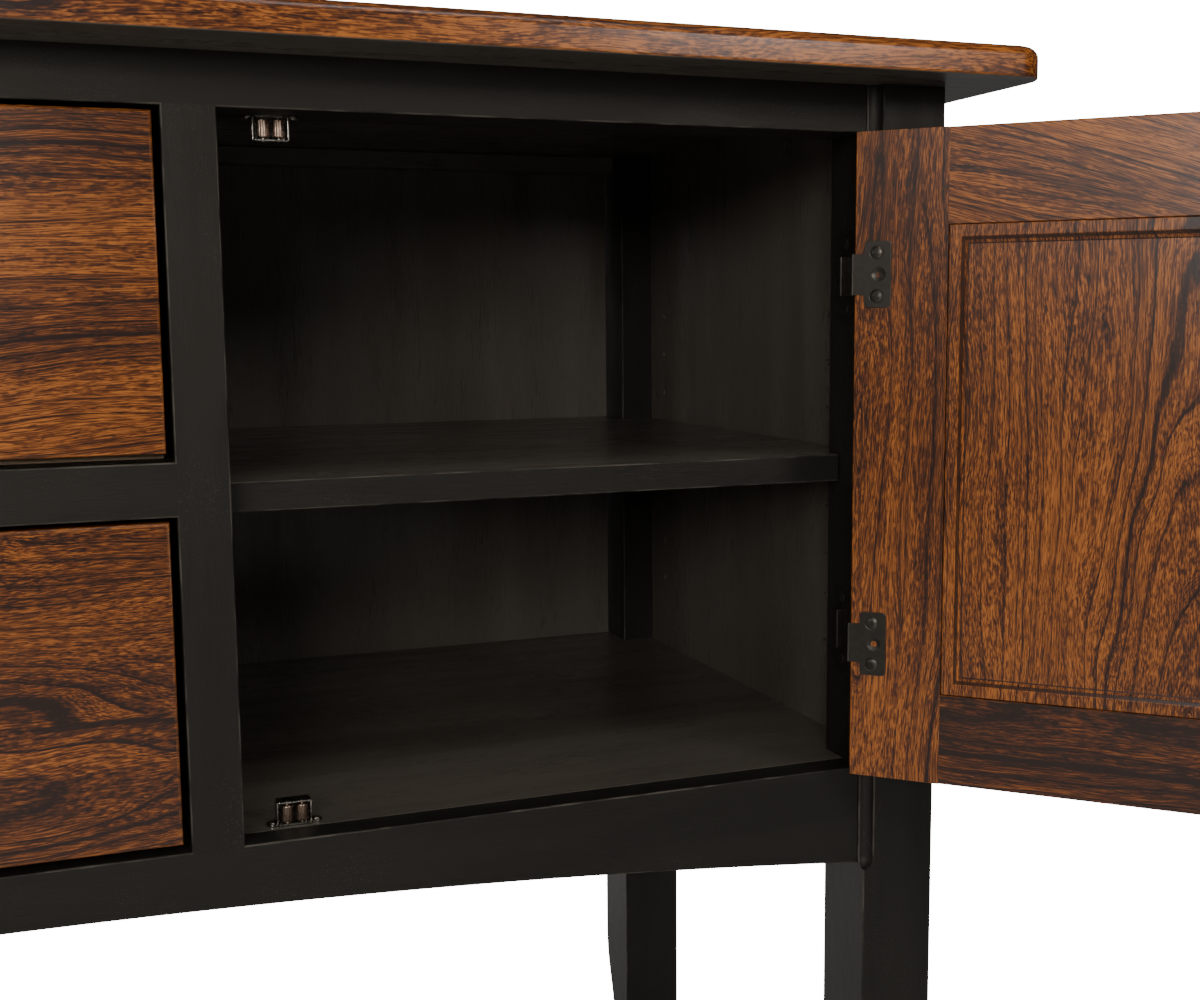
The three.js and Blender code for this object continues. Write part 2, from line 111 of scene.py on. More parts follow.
class SideboardSizes(bpy.types.PropertyGroup):
    """Detail sizes that the frame doesn't hold."""

    top_corner: length("Top corner", "Plan radius of the top's corners", 20)
    top_roundover: length("Top roundover", "Radius on the top's upper edge", 7)
    top_underedge: length("Top under edge", "Radius on the top's lower edge", 1.6)
    arris: length("Arris", "How far the frame's sharp edges are eased", 0.9)
    board_arris: length("Board arris", "How far the inside boards' edges are eased", 0.7)
    cove: length("Cove", "Radius of the cove along the front legs", 7)
    foot_sweep: length("Foot sweep", "How far a foot is swept in at the floor", 17)
    foot_height: length("Foot height", "Where a leg starts to sweep in", 100)
    foot_upright: length("Foot upright", "Straight stretch at the very bottom of a leg", 6)
    arch_rise: length("Arch rise", "Rise of the bottom rail's lower edge", 33.5)
    door_arris: length("Door arris", "Easing of the doors' outer edges", 1.1)
    sticking: length("Sticking", "Moulded inner edge on the front of a door frame", 5)
    panel_strip: length("Panel strip", "Level border round the back of a door panel", 7.4)
    panel_slope: length("Panel slope", "Width of the slope down to the panel's field", 4.2)
    panel_raise: length("Panel raise", "Sloped border on the front of a door panel", 26)
    drawer_arris: length("Drawer arris", "Easing of a drawer front's edges", 1.8)
    drawer_side: length("Drawer side", "Thickness of a drawer's sides", 12)
    tail_spacing: length("Tail spacing", "Distance between dovetails", 25)
    pin_hole: length("Shelf pin hole", "Diameter of the shelf pin holes", 5)
    pin_pitch: length("Pin pitch", "Distance between shelf pin holes", 32)
    pin_row_rear: length("Rear pin row", "Rear row behind the frame face", 373)
    pin_row_front: length("Front pin row", "Front row behind the frame face", 92)
    first_pin: length("First pin", "Height of the lowest shelf pin hole", 440.7)
    leaf: length("Hinge leaf", "Thickness of the hinge leaves", 0.95)
    barrel: length("Hinge barrel", "Radius of the hinge barrel", 1.9)
    screw: length("Screw head", "Radius of the hinge screws' heads", 3.9)


class SideboardFinishes(bpy.types.PropertyGroup):
    """Colours of the finishes."""

    elm_light: colour("Elm light", "Lightest stained elm", 0.53, 0.172, 0.028)
    elm_mid: colour("Elm middle", "Middle tone of the stained elm", 0.172, 0.047, 0.009)
    elm_deep: colour("Elm deep", "Deep tone of the stained elm", 0.062, 0.017, 0.005)
    # The pore colour also serves as painted shade in inside corners and on the panel's recessed
    # slope.
    elm_pore_and_shade: colour("Elm pore", "Stain gathered in the pores", 0.022, 0.008, 0.004)
    paint: colour("Paint", "Black paint over wood", 0.0085, 0.0077, 0.0066)
    # The inside black is far lighter than the paint: partly a thinner stain, partly painted light
    # for the light reaching the inside and the top's underside.
    inside: colour("Inside paint", "Thin black stain inside the case", 0.080, 0.068, 0.054)
    # On the paint this colour also serves as a painted glint along the eased edges.
    paint_rub_and_glint: colour("Rubbed paint", "Paint worn thin on an edge", 0.085, 0.073, 0.058)
    maple_light: colour("Maple light", "Light tone of the drawer boxes", 0.66, 0.47, 0.29)
    maple_deep: colour("Maple deep", "Deep tone of the drawer boxes", 0.42, 0.27, 0.145)
    bronze: colour("Bronze black", "Hinges and knobs", 0.055, 0.047, 0.038)
    nickel: colour("Nickel", "Catch housings", 0.27, 0.245, 0.21)
    roller: colour("Roller", "Catch rollers", 0.27, 0.19, 0.14)


class SideboardStage(bpy.types.PropertyGroup):
    """Camera and floor."""

    camera_right: length("Camera right", "Camera from the middle of the case", 126.1)
    camera_ahead: length("Camera ahead", "Camera in front of the frame face", 797.8)
    camera_height: length("Camera height", "Camera above the floor", 664.4)
    camera_turn: bpy.props.FloatProperty(
        name="Camera turn", description="Camera turned to the right",
        default=radians(20.603), subtype="ANGLE")
    camera_dip: bpy.props.FloatProperty(
        name="Camera dip", description="Camera tilted down",
        default=radians(7.008), subtype="ANGLE")
    camera_roll: bpy.props.FloatProperty(
        name="Camera roll", description="Camera rolled about its own axis",
        default=radians(-0.516), subtype="ANGLE")
    camera_lens: bpy.props.FloatProperty(
        name="Lens", description="Focal length for a 36 mm wide image",
        default=44.607, unit="CAMERA")
    floor_size: length("Floor size", "Side of the square floor", 14000)
    floor_colour: colour("Floor colour", "Plain pale floor", 0.72, 0.72, 0.72)


# ---- Shapes ----
def prism(outline, axis, start, end):
    """An outline in the plane across an axis, run from start to end along it."""
    return loft([[place(axis, level, u, v) for u, v in outline] for level in (start, end)])


def place(axis, along, u, v):
    """A point from its place on one axis and on the other two, in order."""
    point = [u, v]
    point.insert(axis, along)
    return Vector(point)


def loft(rings):
    """A closed skin over rings of as many points each, with flat ends."""
    bm = bmesh.new()
    made = [[bm.verts.new(point) for point in ring] for ring in rings]
    bm.faces.new(made[0][::-1])
    bm.faces.new(made[-1])
    count = len(made[0])
    for lower, upper in zip(made, made[1:]):
        for i in range(count):
            j = (i + 1) % count
            bm.faces.new((lower[i], lower[j], upper[j], upper[i]))
    bmesh.ops.recalc_face_normals(bm, faces=bm.faces)
    return bm


def block(low, high):
    """A squared board between two corners."""
    outline = [(low[0], low[1]), (high[0], low[1]), (high[0], high[1]), (low[0], high[1])]
    return prism(outline, Z, low[2], high[2])


def rounded(corners, steps=6):
    """A closed outline of (u, v, radius) corners, each turned through an arc."""
    outline = []
    for i, (u, v, radius) in enumerate(corners):
        here = Vector((u, v))
        back = (Vector(corners[i - 1][:2]) - here).normalized()
        ahead = (Vector(corners[(i + 1) % len(corners)][:2]) - here).normalized()
        if radius <= 0:
            outline.append((u, v))
            continue
        half = back.angle(ahead) / 2
        centre = here + (back + ahead).normalized() * (radius / sin(half))
        first = here + back * (radius / tan(half)) - centre
        last = here + ahead * (radius / tan(half)) - centre
        start = atan2(first.y, first.x)
        sweep = (atan2(last.y, last.x) - start + pi) % (2 * pi) - pi
        for k in range(steps + 1):
            angle = start + sweep * k / steps
            outline.append(
                (centre.x + radius * cos(angle), centre.y + radius * sin(angle)))
    return outline


def lathe(profile, sides=32):
    """(radius, height) pairs turned about Z. A first or last radius of 0 closes to a point."""
    rings = [
        [Vector((max(r, 1e-6) * cos(2 * pi * k / sides), max(r, 1e-6) * sin(2 * pi * k / sides), h))
         for k in range(sides)]
        for r, h in profile]
    bm = loft(rings)
    bmesh.ops.remove_doubles(bm, verts=bm.verts, dist=1e-5)
    loose = [f for f in bm.faces if f.calc_area() < 1e-12]
    bmesh.ops.delete(bm, geom=loose, context="FACES_ONLY")
    return bm


def runs(axis):
    """Picks the edges that run along an axis."""
    def picked(edge):
        direction = (edge.verts[1].co - edge.verts[0].co).normalized()
        return abs(direction[axis]) > 0.9
    return picked


def lies(axis, at, reach=1e-5):
    """Picks the edges that lie at a place on an axis."""
    return lambda edge: all(abs(v.co[axis] - at) < reach for v in edge.verts)


def ease(bm, radius, *picks, segments=3, sharp=30):
    """Rounds the sharp edges that every pick accepts."""
    edges = [
        e for e in bm.edges
        if len(e.link_faces) == 2 and e.calc_face_angle(0) > radians(sharp)
        and all(pick(e) for pick in picks)]
    if edges:
        bmesh.ops.bevel(
            bm, geom=edges, offset=radius, segments=segments, profile=0.5,
            affect="EDGES", clamp_overlap=True)
    return bm


def moved(bm, matrix):
    bmesh.ops.transform(bm, matrix=matrix, verts=bm.verts)
    if matrix.determinant() < 0:
        bmesh.ops.reverse_faces(bm, faces=bm.faces)
    return bm


def joined(*parts):
    """One mesh of several closed ones, with their grain kept."""
    whole = bmesh.new()
    for part in parts:
        sheet = bpy.data.meshes.new("part")
        part.to_mesh(sheet)
        part.free()
        whole.from_mesh(sheet)
        bpy.data.meshes.remove(sheet)
    return whole


def copied(bm, matrix):
    return moved(bm.copy(), matrix)


def bored(bm, *cutters):
    """The piece with the cutters' shapes taken out of it."""
    pair = []
    for shape in (bm, joined(*cutters)):
        sheet = bpy.data.meshes.new("bored")
        shape.to_mesh(sheet)
        shape.free()
        thing = bpy.data.objects.new("bored", sheet)
        bpy.context.scene.collection.objects.link(thing)
        pair.append(thing)
    body, tool = pair
    boolean = body.modifiers.new("bore", "BOOLEAN")
    boolean.operation = "DIFFERENCE"
    boolean.solver = "EXACT"
    boolean.use_self = True
    boolean.object = tool
    seen = body.evaluated_get(bpy.context.evaluated_depsgraph_get())
    result = bmesh.new()
    result.from_mesh(seen.to_mesh())
    seen.to_mesh_clear()
    for thing in pair:
        sheet = thing.data
        bpy.data.objects.remove(thing)
        bpy.data.meshes.remove(sheet)
    bmesh.ops.dissolve_degenerate(result, edges=result.edges, dist=1e-6)
    return result


def rod(radius, centre, axis, start, end, sides=20):
    """A plain round cutter along an axis."""
    turn = {X: Matrix.Rotation(pi / 2, 4, "Y"), Y: Matrix.Rotation(-pi / 2, 4, "X"),
            Z: Matrix.Identity(4)}[axis]
    shift = Vector(centre)
    shift[axis] = start
    profile = [(radius, 0), (radius, end - start)]
    return moved(lathe(profile, sides), Matrix.Translation(shift) @ turn)


# ---- Grain: where each point of a board was in its tree ----
def grained(bm, along, across=None, heart=(0.055, 0.03), lean=0.0, tilt=0.0, seed=0.0,
            tone=0.0):
    """Gives a board its grain. Along and across are axes; heart is the pith's place.

    Lean slants the rings' lines on the board's face, tilt draws them out into arches,
    and tone makes the whole board lighter or darker."""
    across = (along + 1) % 3 if across is None else across
    deep = 3 - along - across
    layer = bm.verts.layers.float_vector.get("grain") or \
        bm.verts.layers.float_vector.new("grain")
    shade = bm.verts.layers.float.get("tone") or bm.verts.layers.float.new("tone")
    middle = sum((v.co for v in bm.verts), Vector()) / len(bm.verts)
    for vert in bm.verts:
        spot = vert.co - middle
        vert[layer] = Vector((
            spot[along] + seed * 1.7,
            spot[across] - heart[0] + lean * spot[along],
            spot[deep] - heart[1] - tilt * spot[along]))
        # tone is a board's own lightness; on the door rails and drawer fronts it is painted light
        # and painted shade
        vert[shade] = tone
    return bm


# ---- Finished pieces ----
RECESS_SHADE = -1.0  # how dark the painted shade stands on a panel's recessed slope
ARRIS_WIDTH = 0.0011  # a face narrower than this may be part of an eased edge
ARRIS_BEND = radians(9)  # and it is one if it bends from its neighbours by this much


def mark_arrises(bm):
    """Marks the narrow faces of eased edges with 1, and of inside corners with -1."""
    layer = bm.faces.layers.float.get("arris") or bm.faces.layers.float.new("arris")
    bm.normal_update()
    for face in bm.faces:
        longest = max(edge.calc_length() for edge in face.edges)
        if face.calc_area() > longest * ARRIS_WIDTH:
            continue
        bends = [
            edge.calc_face_angle_signed(0) for edge in face.edges
            if len(edge.link_faces) == 2 and edge.calc_length() > 0.5 * longest]
        if bends and max(abs(bend) for bend in bends) > ARRIS_BEND:
            # -1 marks an inside corner, where the elm gets painted shade
            face[layer] = 1.0 if sum(bends) > 0 else -1.0


def piece(name, bm, finish, body, *nodes, turn=None, sharp=32, second=None):
    """Makes an object of a shape, with its finish, riding on a body for its CAD nodes.

    Second is another finish and the direction that its faces look in, before any turn."""
    if "grain" not in bm.verts.layers.float_vector:
        grained(bm, Z)
    if second:
        bm.normal_update()
        for face in bm.faces:
            face.material_index = int(face.normal.dot(Vector(second[1])) > 0.6)
    if turn is not None:
        moved(bm, turn)
    mark_arrises(bm)
    sheet = bpy.data.meshes.new(name)
    bm.to_mesh(sheet)
    bm.free()
    sheet.materials.append(finish_of(finish))
    if second:
        sheet.materials.append(finish_of(second[0]))
    sheet.shade_smooth()
    sheet.set_sharp_from_angle(angle=radians(sharp))
    made = bpy.data.objects.new(name, sheet)
    bpy.context.scene.collection.objects.link(made)
    weighted = made.modifiers.new("even shading", "WEIGHTED_NORMAL")
    weighted.keep_sharp = True
    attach(made, body)
    if nodes:
        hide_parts(*nodes)
    return made


# ---- Finishes ----
class Web:
    """A node tree while it is being wired."""

    def __init__(self, tree):
        self.tree = tree

    def node(self, kind, inputs=None, **settings):
        made = self.tree.nodes.new("ShaderNode" + kind)
        for key, value in settings.items():
            setattr(made, key, value)
        for key, value in (inputs or {}).items():
            if isinstance(value, bpy.types.NodeSocket):
                self.tree.links.new(value, made.inputs[key])
            else:
                made.inputs[key].default_value = value
        return made

    def math(self, operation, *values, clamp=False):
        return self.node(
            "Math", dict(enumerate(values)), operation=operation, use_clamp=clamp).outputs[0]

    def scaled(self, vector, *factors):
        return self.node(
            "VectorMath", {0: vector, 1: factors}, operation="MULTIPLY").outputs[0]

    def noise(self, vector, scale=1.0, detail=2.0, roughness=0.5):
        return self.node("TexNoise", {
            "Vector": vector, "Scale": scale, "Detail": detail, "Roughness": roughness})

    def between(self, value, low, high, start=0.0, end=1.0):
        return self.node("MapRange", {
            "Value": value, "From Min": low, "From Max": high,
            "To Min": start, "To Max": end}, interpolation_type="SMOOTHSTEP").outputs[0]

    def ramp(self, value, *stops):
        made = self.node("ValToRGB", {"Fac": value})
        ramp = made.color_ramp
        while len(ramp.elements) < len(stops):
            ramp.elements.new(0.5)
        for element, (at, tint) in zip(ramp.elements, stops):
            element.position = at
            element.color = (*tint, 1) if hasattr(tint, "__len__") else (tint, tint, tint, 1)
        return made.outputs["Color"]

    def tint(self, factor, first, second, blend="MIX"):
        made = self.node("Mix", {0: factor}, data_type="RGBA", blend_type=blend)
        for key, value in ((6, first), (7, second)):
            if isinstance(value, bpy.types.NodeSocket):
                self.tree.links.new(value, made.inputs[key])
            else:
                made.inputs[key].default_value = (*value, 1)
        return made.outputs[2]


def new_effect(name, inputs, outputs):
    tree = bpy.data.node_groups.new(name, "ShaderNodeTree")
    for label, kind, default in inputs:
        socket = tree.interface.new_socket(
            name=label, in_out="INPUT", socket_type="NodeSocket" + kind)
        if default is not None:
            socket.default_value = default
    for label, kind in outputs:
        tree.interface.new_socket(
            name=label, in_out="OUTPUT", socket_type="NodeSocket" + kind)
    given = tree.nodes.new("NodeGroupInput").outputs
    result = tree.nodes.new("NodeGroupOutput").inputs
    return Web(tree), given, result


def wood_grain():
    """Growth rings, fibres and pores of a board, from where it was in its tree."""
    found = bpy.data.node_groups.get("wood grain")
    if found:
        return found
    web, given, result = new_effect(
        "wood grain",
        [("Place", "Vector", None), ("Ring Width", "Float", 0.008),
         ("Wander", "Float", 1.0), ("Stave Width", "Float", 10.0),
         ("Fibre Length", "Float", 1.0)],
        [("Rings", "Float"), ("Streaks", "Float"), ("Fibres", "Float"), ("Pores", "Float"),
         ("Waves", "Float"), ("Tone", "Float")])
    centimetres = web.scaled(given["Place"], 100, 100, 100)
    parts = web.node("SeparateXYZ", {0: centimetres}).outputs
    stave = web.math("FLOOR", web.math(
        "DIVIDE", parts[1], web.math("MULTIPLY", given["Stave Width"], 100)))
    chance = web.node("TexWhiteNoise", {"W": stave}, noise_dimensions="1D")
    shuffle = web.node("VectorMath", {
        0: chance.outputs["Color"], 1: (40.0, 9.0, 2.0)}, operation="MULTIPLY").outputs[0]
    spot = web.node("VectorMath", {0: centimetres, 1: shuffle}, operation="ADD").outputs[0]
    slow = web.noise(web.scaled(spot, 0.035, 0.13, 0.13), detail=2.0)
    bend = web.node("VectorMath", {
        0: slow.outputs["Color"], 1: (0.5, 0.5, 0.5)}, operation="SUBTRACT").outputs[0]
    bend = web.node("VectorMath", {
        0: bend, 3: web.math("MULTIPLY", given["Wander"], 6.0)}, operation="SCALE").outputs[0]
    quick = web.noise(web.scaled(spot, 0.16, 0.8, 0.8), detail=2.0)
    ripple = web.node("VectorMath", {
        0: quick.outputs["Color"], 3: 0.22}, operation="SCALE").outputs[0]
    bent = web.node("VectorMath", {0: spot, 1: bend}, operation="ADD").outputs[0]
    bent = web.node("VectorMath", {0: bent, 1: ripple}, operation="ADD").outputs[0]
    section = web.node("VectorMath", {
        0: bent, 1: (0.0, 1.0, 1.0)}, operation="MULTIPLY").outputs[0]
    radius = web.node("VectorMath", {0: section}, operation="LENGTH").outputs["Value"]
    uneven = web.node("TexNoise", {"W": radius, "Scale": 0.8, "Detail": 1.0},
                      noise_dimensions="1D").outputs[0]
    count = web.math("ADD", web.math(
        "DIVIDE", radius, web.math("MULTIPLY", given["Ring Width"], 100)),
        web.math("MULTIPLY", uneven, 3.0))
    phase = web.math("FRACT", count)
    rings = web.ramp(phase, (0.0, 0.6), (0.03, 1.0), (0.08, 0.45), (0.2, 0.12), (0.93, 0.0),
                     (1.0, 0.4))
    strong = web.node("TexWhiteNoise", {"W": web.math("FLOOR", count)},
                      noise_dimensions="1D").outputs["Value"]
    rings = web.math("MULTIPLY", rings, web.math("ADD", 0.55, web.math("POWER", strong, 1.5)))
    web.tree.links.new(rings, result["Rings"])
    feather = web.noise(web.scaled(spot, 1.6, 4.0, 4.0), detail=1.0)
    waves = web.math("SINE", web.math("ADD", web.math(
        "MULTIPLY", phase, 44.0), web.math("MULTIPLY", feather.outputs[0], 12.0)))
    web.tree.links.new(web.between(waves, -0.6, 1.0), result["Waves"])
    stretch = web.math("DIVIDE", 0.5, given["Fibre Length"])
    along = web.node("CombineXYZ", {0: stretch, 1: 20.0, 2: 11.0}).outputs[0]
    strand = web.node("VectorMath", {0: bent, 1: along}, operation="MULTIPLY").outputs[0]
    fibres = web.noise(strand, detail=2.0, roughness=0.55)
    streaks = web.noise(web.scaled(bent, 0.10, 3.2, 2.0), detail=3.0, roughness=0.55)
    web.tree.links.new(web.between(streaks.outputs[0], 0.32, 0.68), result["Streaks"])
    web.tree.links.new(web.between(fibres.outputs[0], 0.34, 0.66), result["Fibres"])
    pores = web.noise(web.scaled(bent, 1.3, 17.0, 9.0), detail=1.0)
    pores = web.between(pores.outputs[0], 0.55, 0.66)
    pores = web.math("MULTIPLY", pores, web.math("ADD", 0.35, web.math(
        "MULTIPLY", rings, 2.2)), clamp=True)
    web.tree.links.new(pores, result["Pores"])
    tone = web.noise(web.scaled(spot, 0.03, 0.28, 0.28), detail=2.0)
    drift = web.math("SUBTRACT", chance.outputs["Value"], 0.5)
    tone = web.math("ADD", web.between(tone.outputs[0], 0.3, 0.7), web.math("MULTIPLY", drift, 0.3))
    web.tree.links.new(tone, result["Tone"])
    return web.tree


def edge_wear_and_painted_light():
    """Eased edges where a finish is rubbed thin, which also carry a painted glint, and painted
    shade in inside corners and recesses.
    """
    found = bpy.data.node_groups.get("edge wear and painted light")
    if found:
        return found
    web, given, result = new_effect(
        "edge wear and painted light", [("Place", "Vector", None), ("Arris", "Float", 0.0), ("Amount", "Float", 1.0)],
        [("Worn And Glint", "Float"), ("Painted Shade", "Float")])
    patchy = web.noise(web.scaled(given["Place"], 45, 160, 160), detail=3.0)
    patchy = web.between(patchy.outputs[0], 0.38, 0.66)
    worn_and_glint = web.math("MULTIPLY", web.math("MULTIPLY", given["Arris"], patchy),
                    given["Amount"], clamp=True)
    web.tree.links.new(worn_and_glint, result["Worn And Glint"])
    # painted shade: inside corners and recessed slopes, marked -1
    painted_shade = web.math("MULTIPLY", given["Arris"], -1.0, clamp=True)
    web.tree.links.new(painted_shade, result["Painted Shade"])
    return web.tree


def fine_dust():
    """Specks and soft smears on a finish, as a mask."""
    found = bpy.data.node_groups.get("fine dust")
    if found:
        return found
    web, given, result = new_effect(
        "fine dust", [("Place", "Vector", None), ("Speck", "Float", 900.0)],
        [("Specks", "Float"), ("Smears", "Float")])
    specks = web.node("TexNoise", {
        "Vector": given["Place"], "Scale": given["Speck"], "Detail": 1.0}).outputs[0]
    patches = web.noise(web.scaled(given["Place"], 14, 30, 30), detail=3.0).outputs[0]
    specks = web.math("MULTIPLY", web.between(specks, 0.6, 0.72), web.between(patches, 0.42, 0.72))
    web.tree.links.new(specks, result["Specks"])
    smears = web.noise(web.scaled(given["Place"], 9, 55, 55), detail=4.0, roughness=0.6).outputs[0]
    web.tree.links.new(web.between(smears, 0.35, 0.7), result["Smears"])
    return web.tree


def brushing():
    """Fine drawn lines and dulled patches on metal."""
    found = bpy.data.node_groups.get("brushing")
    if found:
        return found
    web, given, result = new_effect(
        "brushing", [("Place", "Vector", None), ("Grit", "Float", 1.0)],
        [("Lines", "Float"), ("Dull", "Float")])
    place = web.node("VectorMath", {
        0: given["Place"], 3: given["Grit"]}, operation="SCALE").outputs[0]
    lines = web.noise(web.scaled(place, 260, 3200, 3200), detail=2.0).outputs[0]
    web.tree.links.new(web.between(lines, 0.3, 0.7), result["Lines"])
    dull = web.noise(web.scaled(place, 210, 210, 210), detail=3.0).outputs[0]
    web.tree.links.new(web.between(dull, 0.35, 0.7), result["Dull"])
    return web.tree


def start_material(name):
    material = bpy.data.materials.new(name)
    material.use_nodes = True
    web = Web(material.node_tree)
    shader = material.node_tree.nodes["Principled BSDF"]
    place = web.node("Attribute", attribute_name="grain").outputs["Vector"]
    arris = web.node("Attribute", attribute_name="arris").outputs["Fac"]
    return material, web, shader, place, arris


def placed(web, group, inputs):
    made = web.tree.nodes.new("ShaderNodeGroup")
    made.node_tree = group
    for key, value in inputs.items():
        if isinstance(value, bpy.types.NodeSocket):
            web.tree.links.new(value, made.inputs[key])
        else:
            made.inputs[key].default_value = value
    return made.outputs


def elm():
    finishes = bpy.context.scene.sideboard_finishes
    material, web, shader, place, arris = start_material("stained elm")
    grain = placed(web, wood_grain(), {
        "Place": place, "Ring Width": 0.0105, "Wander": 0.65, "Stave Width": 0.16})
    wear_and_painted_light = placed(web, edge_wear_and_painted_light(), {"Place": place, "Arris": arris, "Amount": 0.55})
    tone = web.node("Attribute", attribute_name="tone").outputs["Fac"]
    body = web.math("ADD", web.math("MULTIPLY", grain["Fibres"], 0.48),
                    web.math("MULTIPLY", grain["Streaks"], 0.18))
    body = web.math("ADD", body, web.math("MULTIPLY", grain["Tone"], 0.22))
    # the board's tone, which on the door rails and drawer fronts is painted light and painted shade
    body = web.math("ADD", body, web.math("ADD", tone, 0.15))
    body = web.math("SUBTRACT", body, web.math("MULTIPLY", grain["Rings"], 0.62))
    body = web.math("SUBTRACT", body, web.math("MULTIPLY", grain["Waves"], 0.21))
    shade = web.ramp(
        body, (0.05, finishes.elm_pore_and_shade), (0.24, finishes.elm_deep),
        (0.5, finishes.elm_mid), (0.84, finishes.elm_light))
    shade = web.tint(web.math("MULTIPLY", grain["Pores"], 0.55), shade, finishes.elm_pore_and_shade)
    # eased edges lightened: rubbed wear and a painted glint
    shade = web.tint(web.math("MULTIPLY", wear_and_painted_light["Worn And Glint"], 0.5), shade, finishes.elm_light)
    # painted shade: inside corners and the panel's recessed slope darkened towards the pore colour
    shade = web.tint(web.math("MULTIPLY", wear_and_painted_light["Painted Shade"], 0.85), shade, finishes.elm_pore_and_shade)
    web.tree.links.new(shade, shader.inputs["Base Color"])
    rough = web.math("ADD", 0.36, web.math("MULTIPLY", grain["Pores"], 0.3))
    rough = web.math("ADD", rough, web.math("MULTIPLY", grain["Fibres"], 0.06))
    web.tree.links.new(rough, shader.inputs["Roughness"])
    height = web.math("SUBTRACT", web.math("MULTIPLY", grain["Fibres"], 0.3), grain["Pores"])
    bump = web.node("Bump", {"Height": height, "Strength": 0.3, "Distance": 0.0002})
    web.tree.links.new(bump.outputs[0], shader.inputs["Normal"])
    shader.inputs["Coat Weight"].default_value = 0.80
    shader.inputs["Coat Roughness"].default_value = 0.26
    shader.inputs["Coat Tint"].default_value = (1.0, 0.94, 0.85, 1)
    shader.inputs["Specular IOR Level"].default_value = 0.15
    return material


def black_paint(name, base, grain_show, rough_low, coat):
    finishes = bpy.context.scene.sideboard_finishes
    material, web, shader, place, arris = start_material(name)
    grain = placed(web, wood_grain(), {
        "Place": place, "Ring Width": 0.012, "Wander": 0.7, "Stave Width": 0.13})
    wear_and_painted_light = placed(web, edge_wear_and_painted_light(), {"Place": place, "Arris": arris, "Amount": 0.9})
    dust = placed(web, fine_dust(), {"Place": place, "Speck": 1100.0})
    shade = web.tint(web.math("MULTIPLY", grain["Fibres"], 0.5), base, tuple(c * 1.7 for c in base))
    shade = web.tint(web.math("MULTIPLY", grain["Tone"], grain_show), shade,
                     tuple(c * 3.2 for c in base))
    shade = web.tint(web.math("MULTIPLY", dust["Specks"], 0.35), shade, (0.11, 0.10, 0.085))
    # eased edges lightened: paint rubbed thin and a painted glint along the arris
    shade = web.tint(wear_and_painted_light["Worn And Glint"], shade, finishes.paint_rub_and_glint)
    web.tree.links.new(shade, shader.inputs["Base Color"])
    rough = web.math("ADD", rough_low, web.math("MULTIPLY", dust["Smears"], 0.14))
    rough = web.math("ADD", rough, web.math("MULTIPLY", grain["Fibres"], 0.06))
    web.tree.links.new(rough, shader.inputs["Roughness"])
    height = web.math("SUBTRACT", web.math("MULTIPLY", grain["Fibres"], 0.7), grain["Pores"])
    bump = web.node("Bump", {"Height": height, "Strength": 0.22, "Distance": 0.0002})
    web.tree.links.new(bump.outputs[0], shader.inputs["Normal"])
    shader.inputs["Coat Weight"].default_value = coat
    shader.inputs["Coat Roughness"].default_value = 0.2
    shader.inputs["Specular Tint"].default_value = (1.0, 0.91, 0.78, 1)
    shader.inputs["Specular IOR Level"].default_value = 0.35
    return material


def maple():
    finishes = bpy.context.scene.sideboard_finishes
    material, web, shader, place, arris = start_material("drawer maple")
    grain = placed(web, wood_grain(), {
        "Place": place, "Ring Width": 0.006, "Wander": 0.5, "Stave Width": 10.0,
        "Fibre Length": 1.6})
    wear_and_painted_light = placed(web, edge_wear_and_painted_light(), {"Place": place, "Arris": arris, "Amount": 0.4})
    body = web.math("ADD", web.math("MULTIPLY", grain["Rings"], 0.35),
                    web.math("MULTIPLY", grain["Fibres"], 0.35))
    shade = web.ramp(body, (0.0, finishes.maple_light), (0.9, finishes.maple_deep))
    shade = web.tint(web.math("MULTIPLY", grain["Pores"], 0.4), shade, finishes.maple_deep)
    shade = web.tint(web.math("MULTIPLY", wear_and_painted_light["Worn And Glint"], 0.5), shade, (0.7, 0.55, 0.38))
    web.tree.links.new(shade, shader.inputs["Base Color"])
    rough = web.math("ADD", 0.42, web.math("MULTIPLY", grain["Fibres"], 0.12))
    web.tree.links.new(rough, shader.inputs["Roughness"])
    bump = web.node("Bump", {"Height": grain["Fibres"], "Strength": 0.2, "Distance": 0.0002})
    web.tree.links.new(bump.outputs[0], shader.inputs["Normal"])
    return material


def metal(name, base, low, high, metallic, grit):
    material, web, shader, place, arris = start_material(name)
    brushed = placed(web, brushing(), {"Place": place, "Grit": grit})
    wear_and_painted_light = placed(web, edge_wear_and_painted_light(), {"Place": place, "Arris": arris, "Amount": 0.8})
    shade = web.tint(web.math("MULTIPLY", brushed["Dull"], 0.6), base, tuple(c * 0.6 for c in base))
    # eased edges brightened: wear and a painted glint
    bright = tuple(min(1.0, c * 2.4) for c in base)
    shade = web.tint(web.math("MULTIPLY", wear_and_painted_light["Worn And Glint"], 0.7), shade, bright)
    web.tree.links.new(shade, shader.inputs["Base Color"])
    rough = web.math("ADD", low, web.math("MULTIPLY", brushed["Dull"], high - low))
    web.tree.links.new(rough, shader.inputs["Roughness"])
    bump = web.node("Bump", {"Height": brushed["Lines"], "Strength": 0.25, "Distance": 0.00005})
    web.tree.links.new(bump.outputs[0], shader.inputs["Normal"])
    shader.inputs["Metallic"].default_value = metallic
    return material


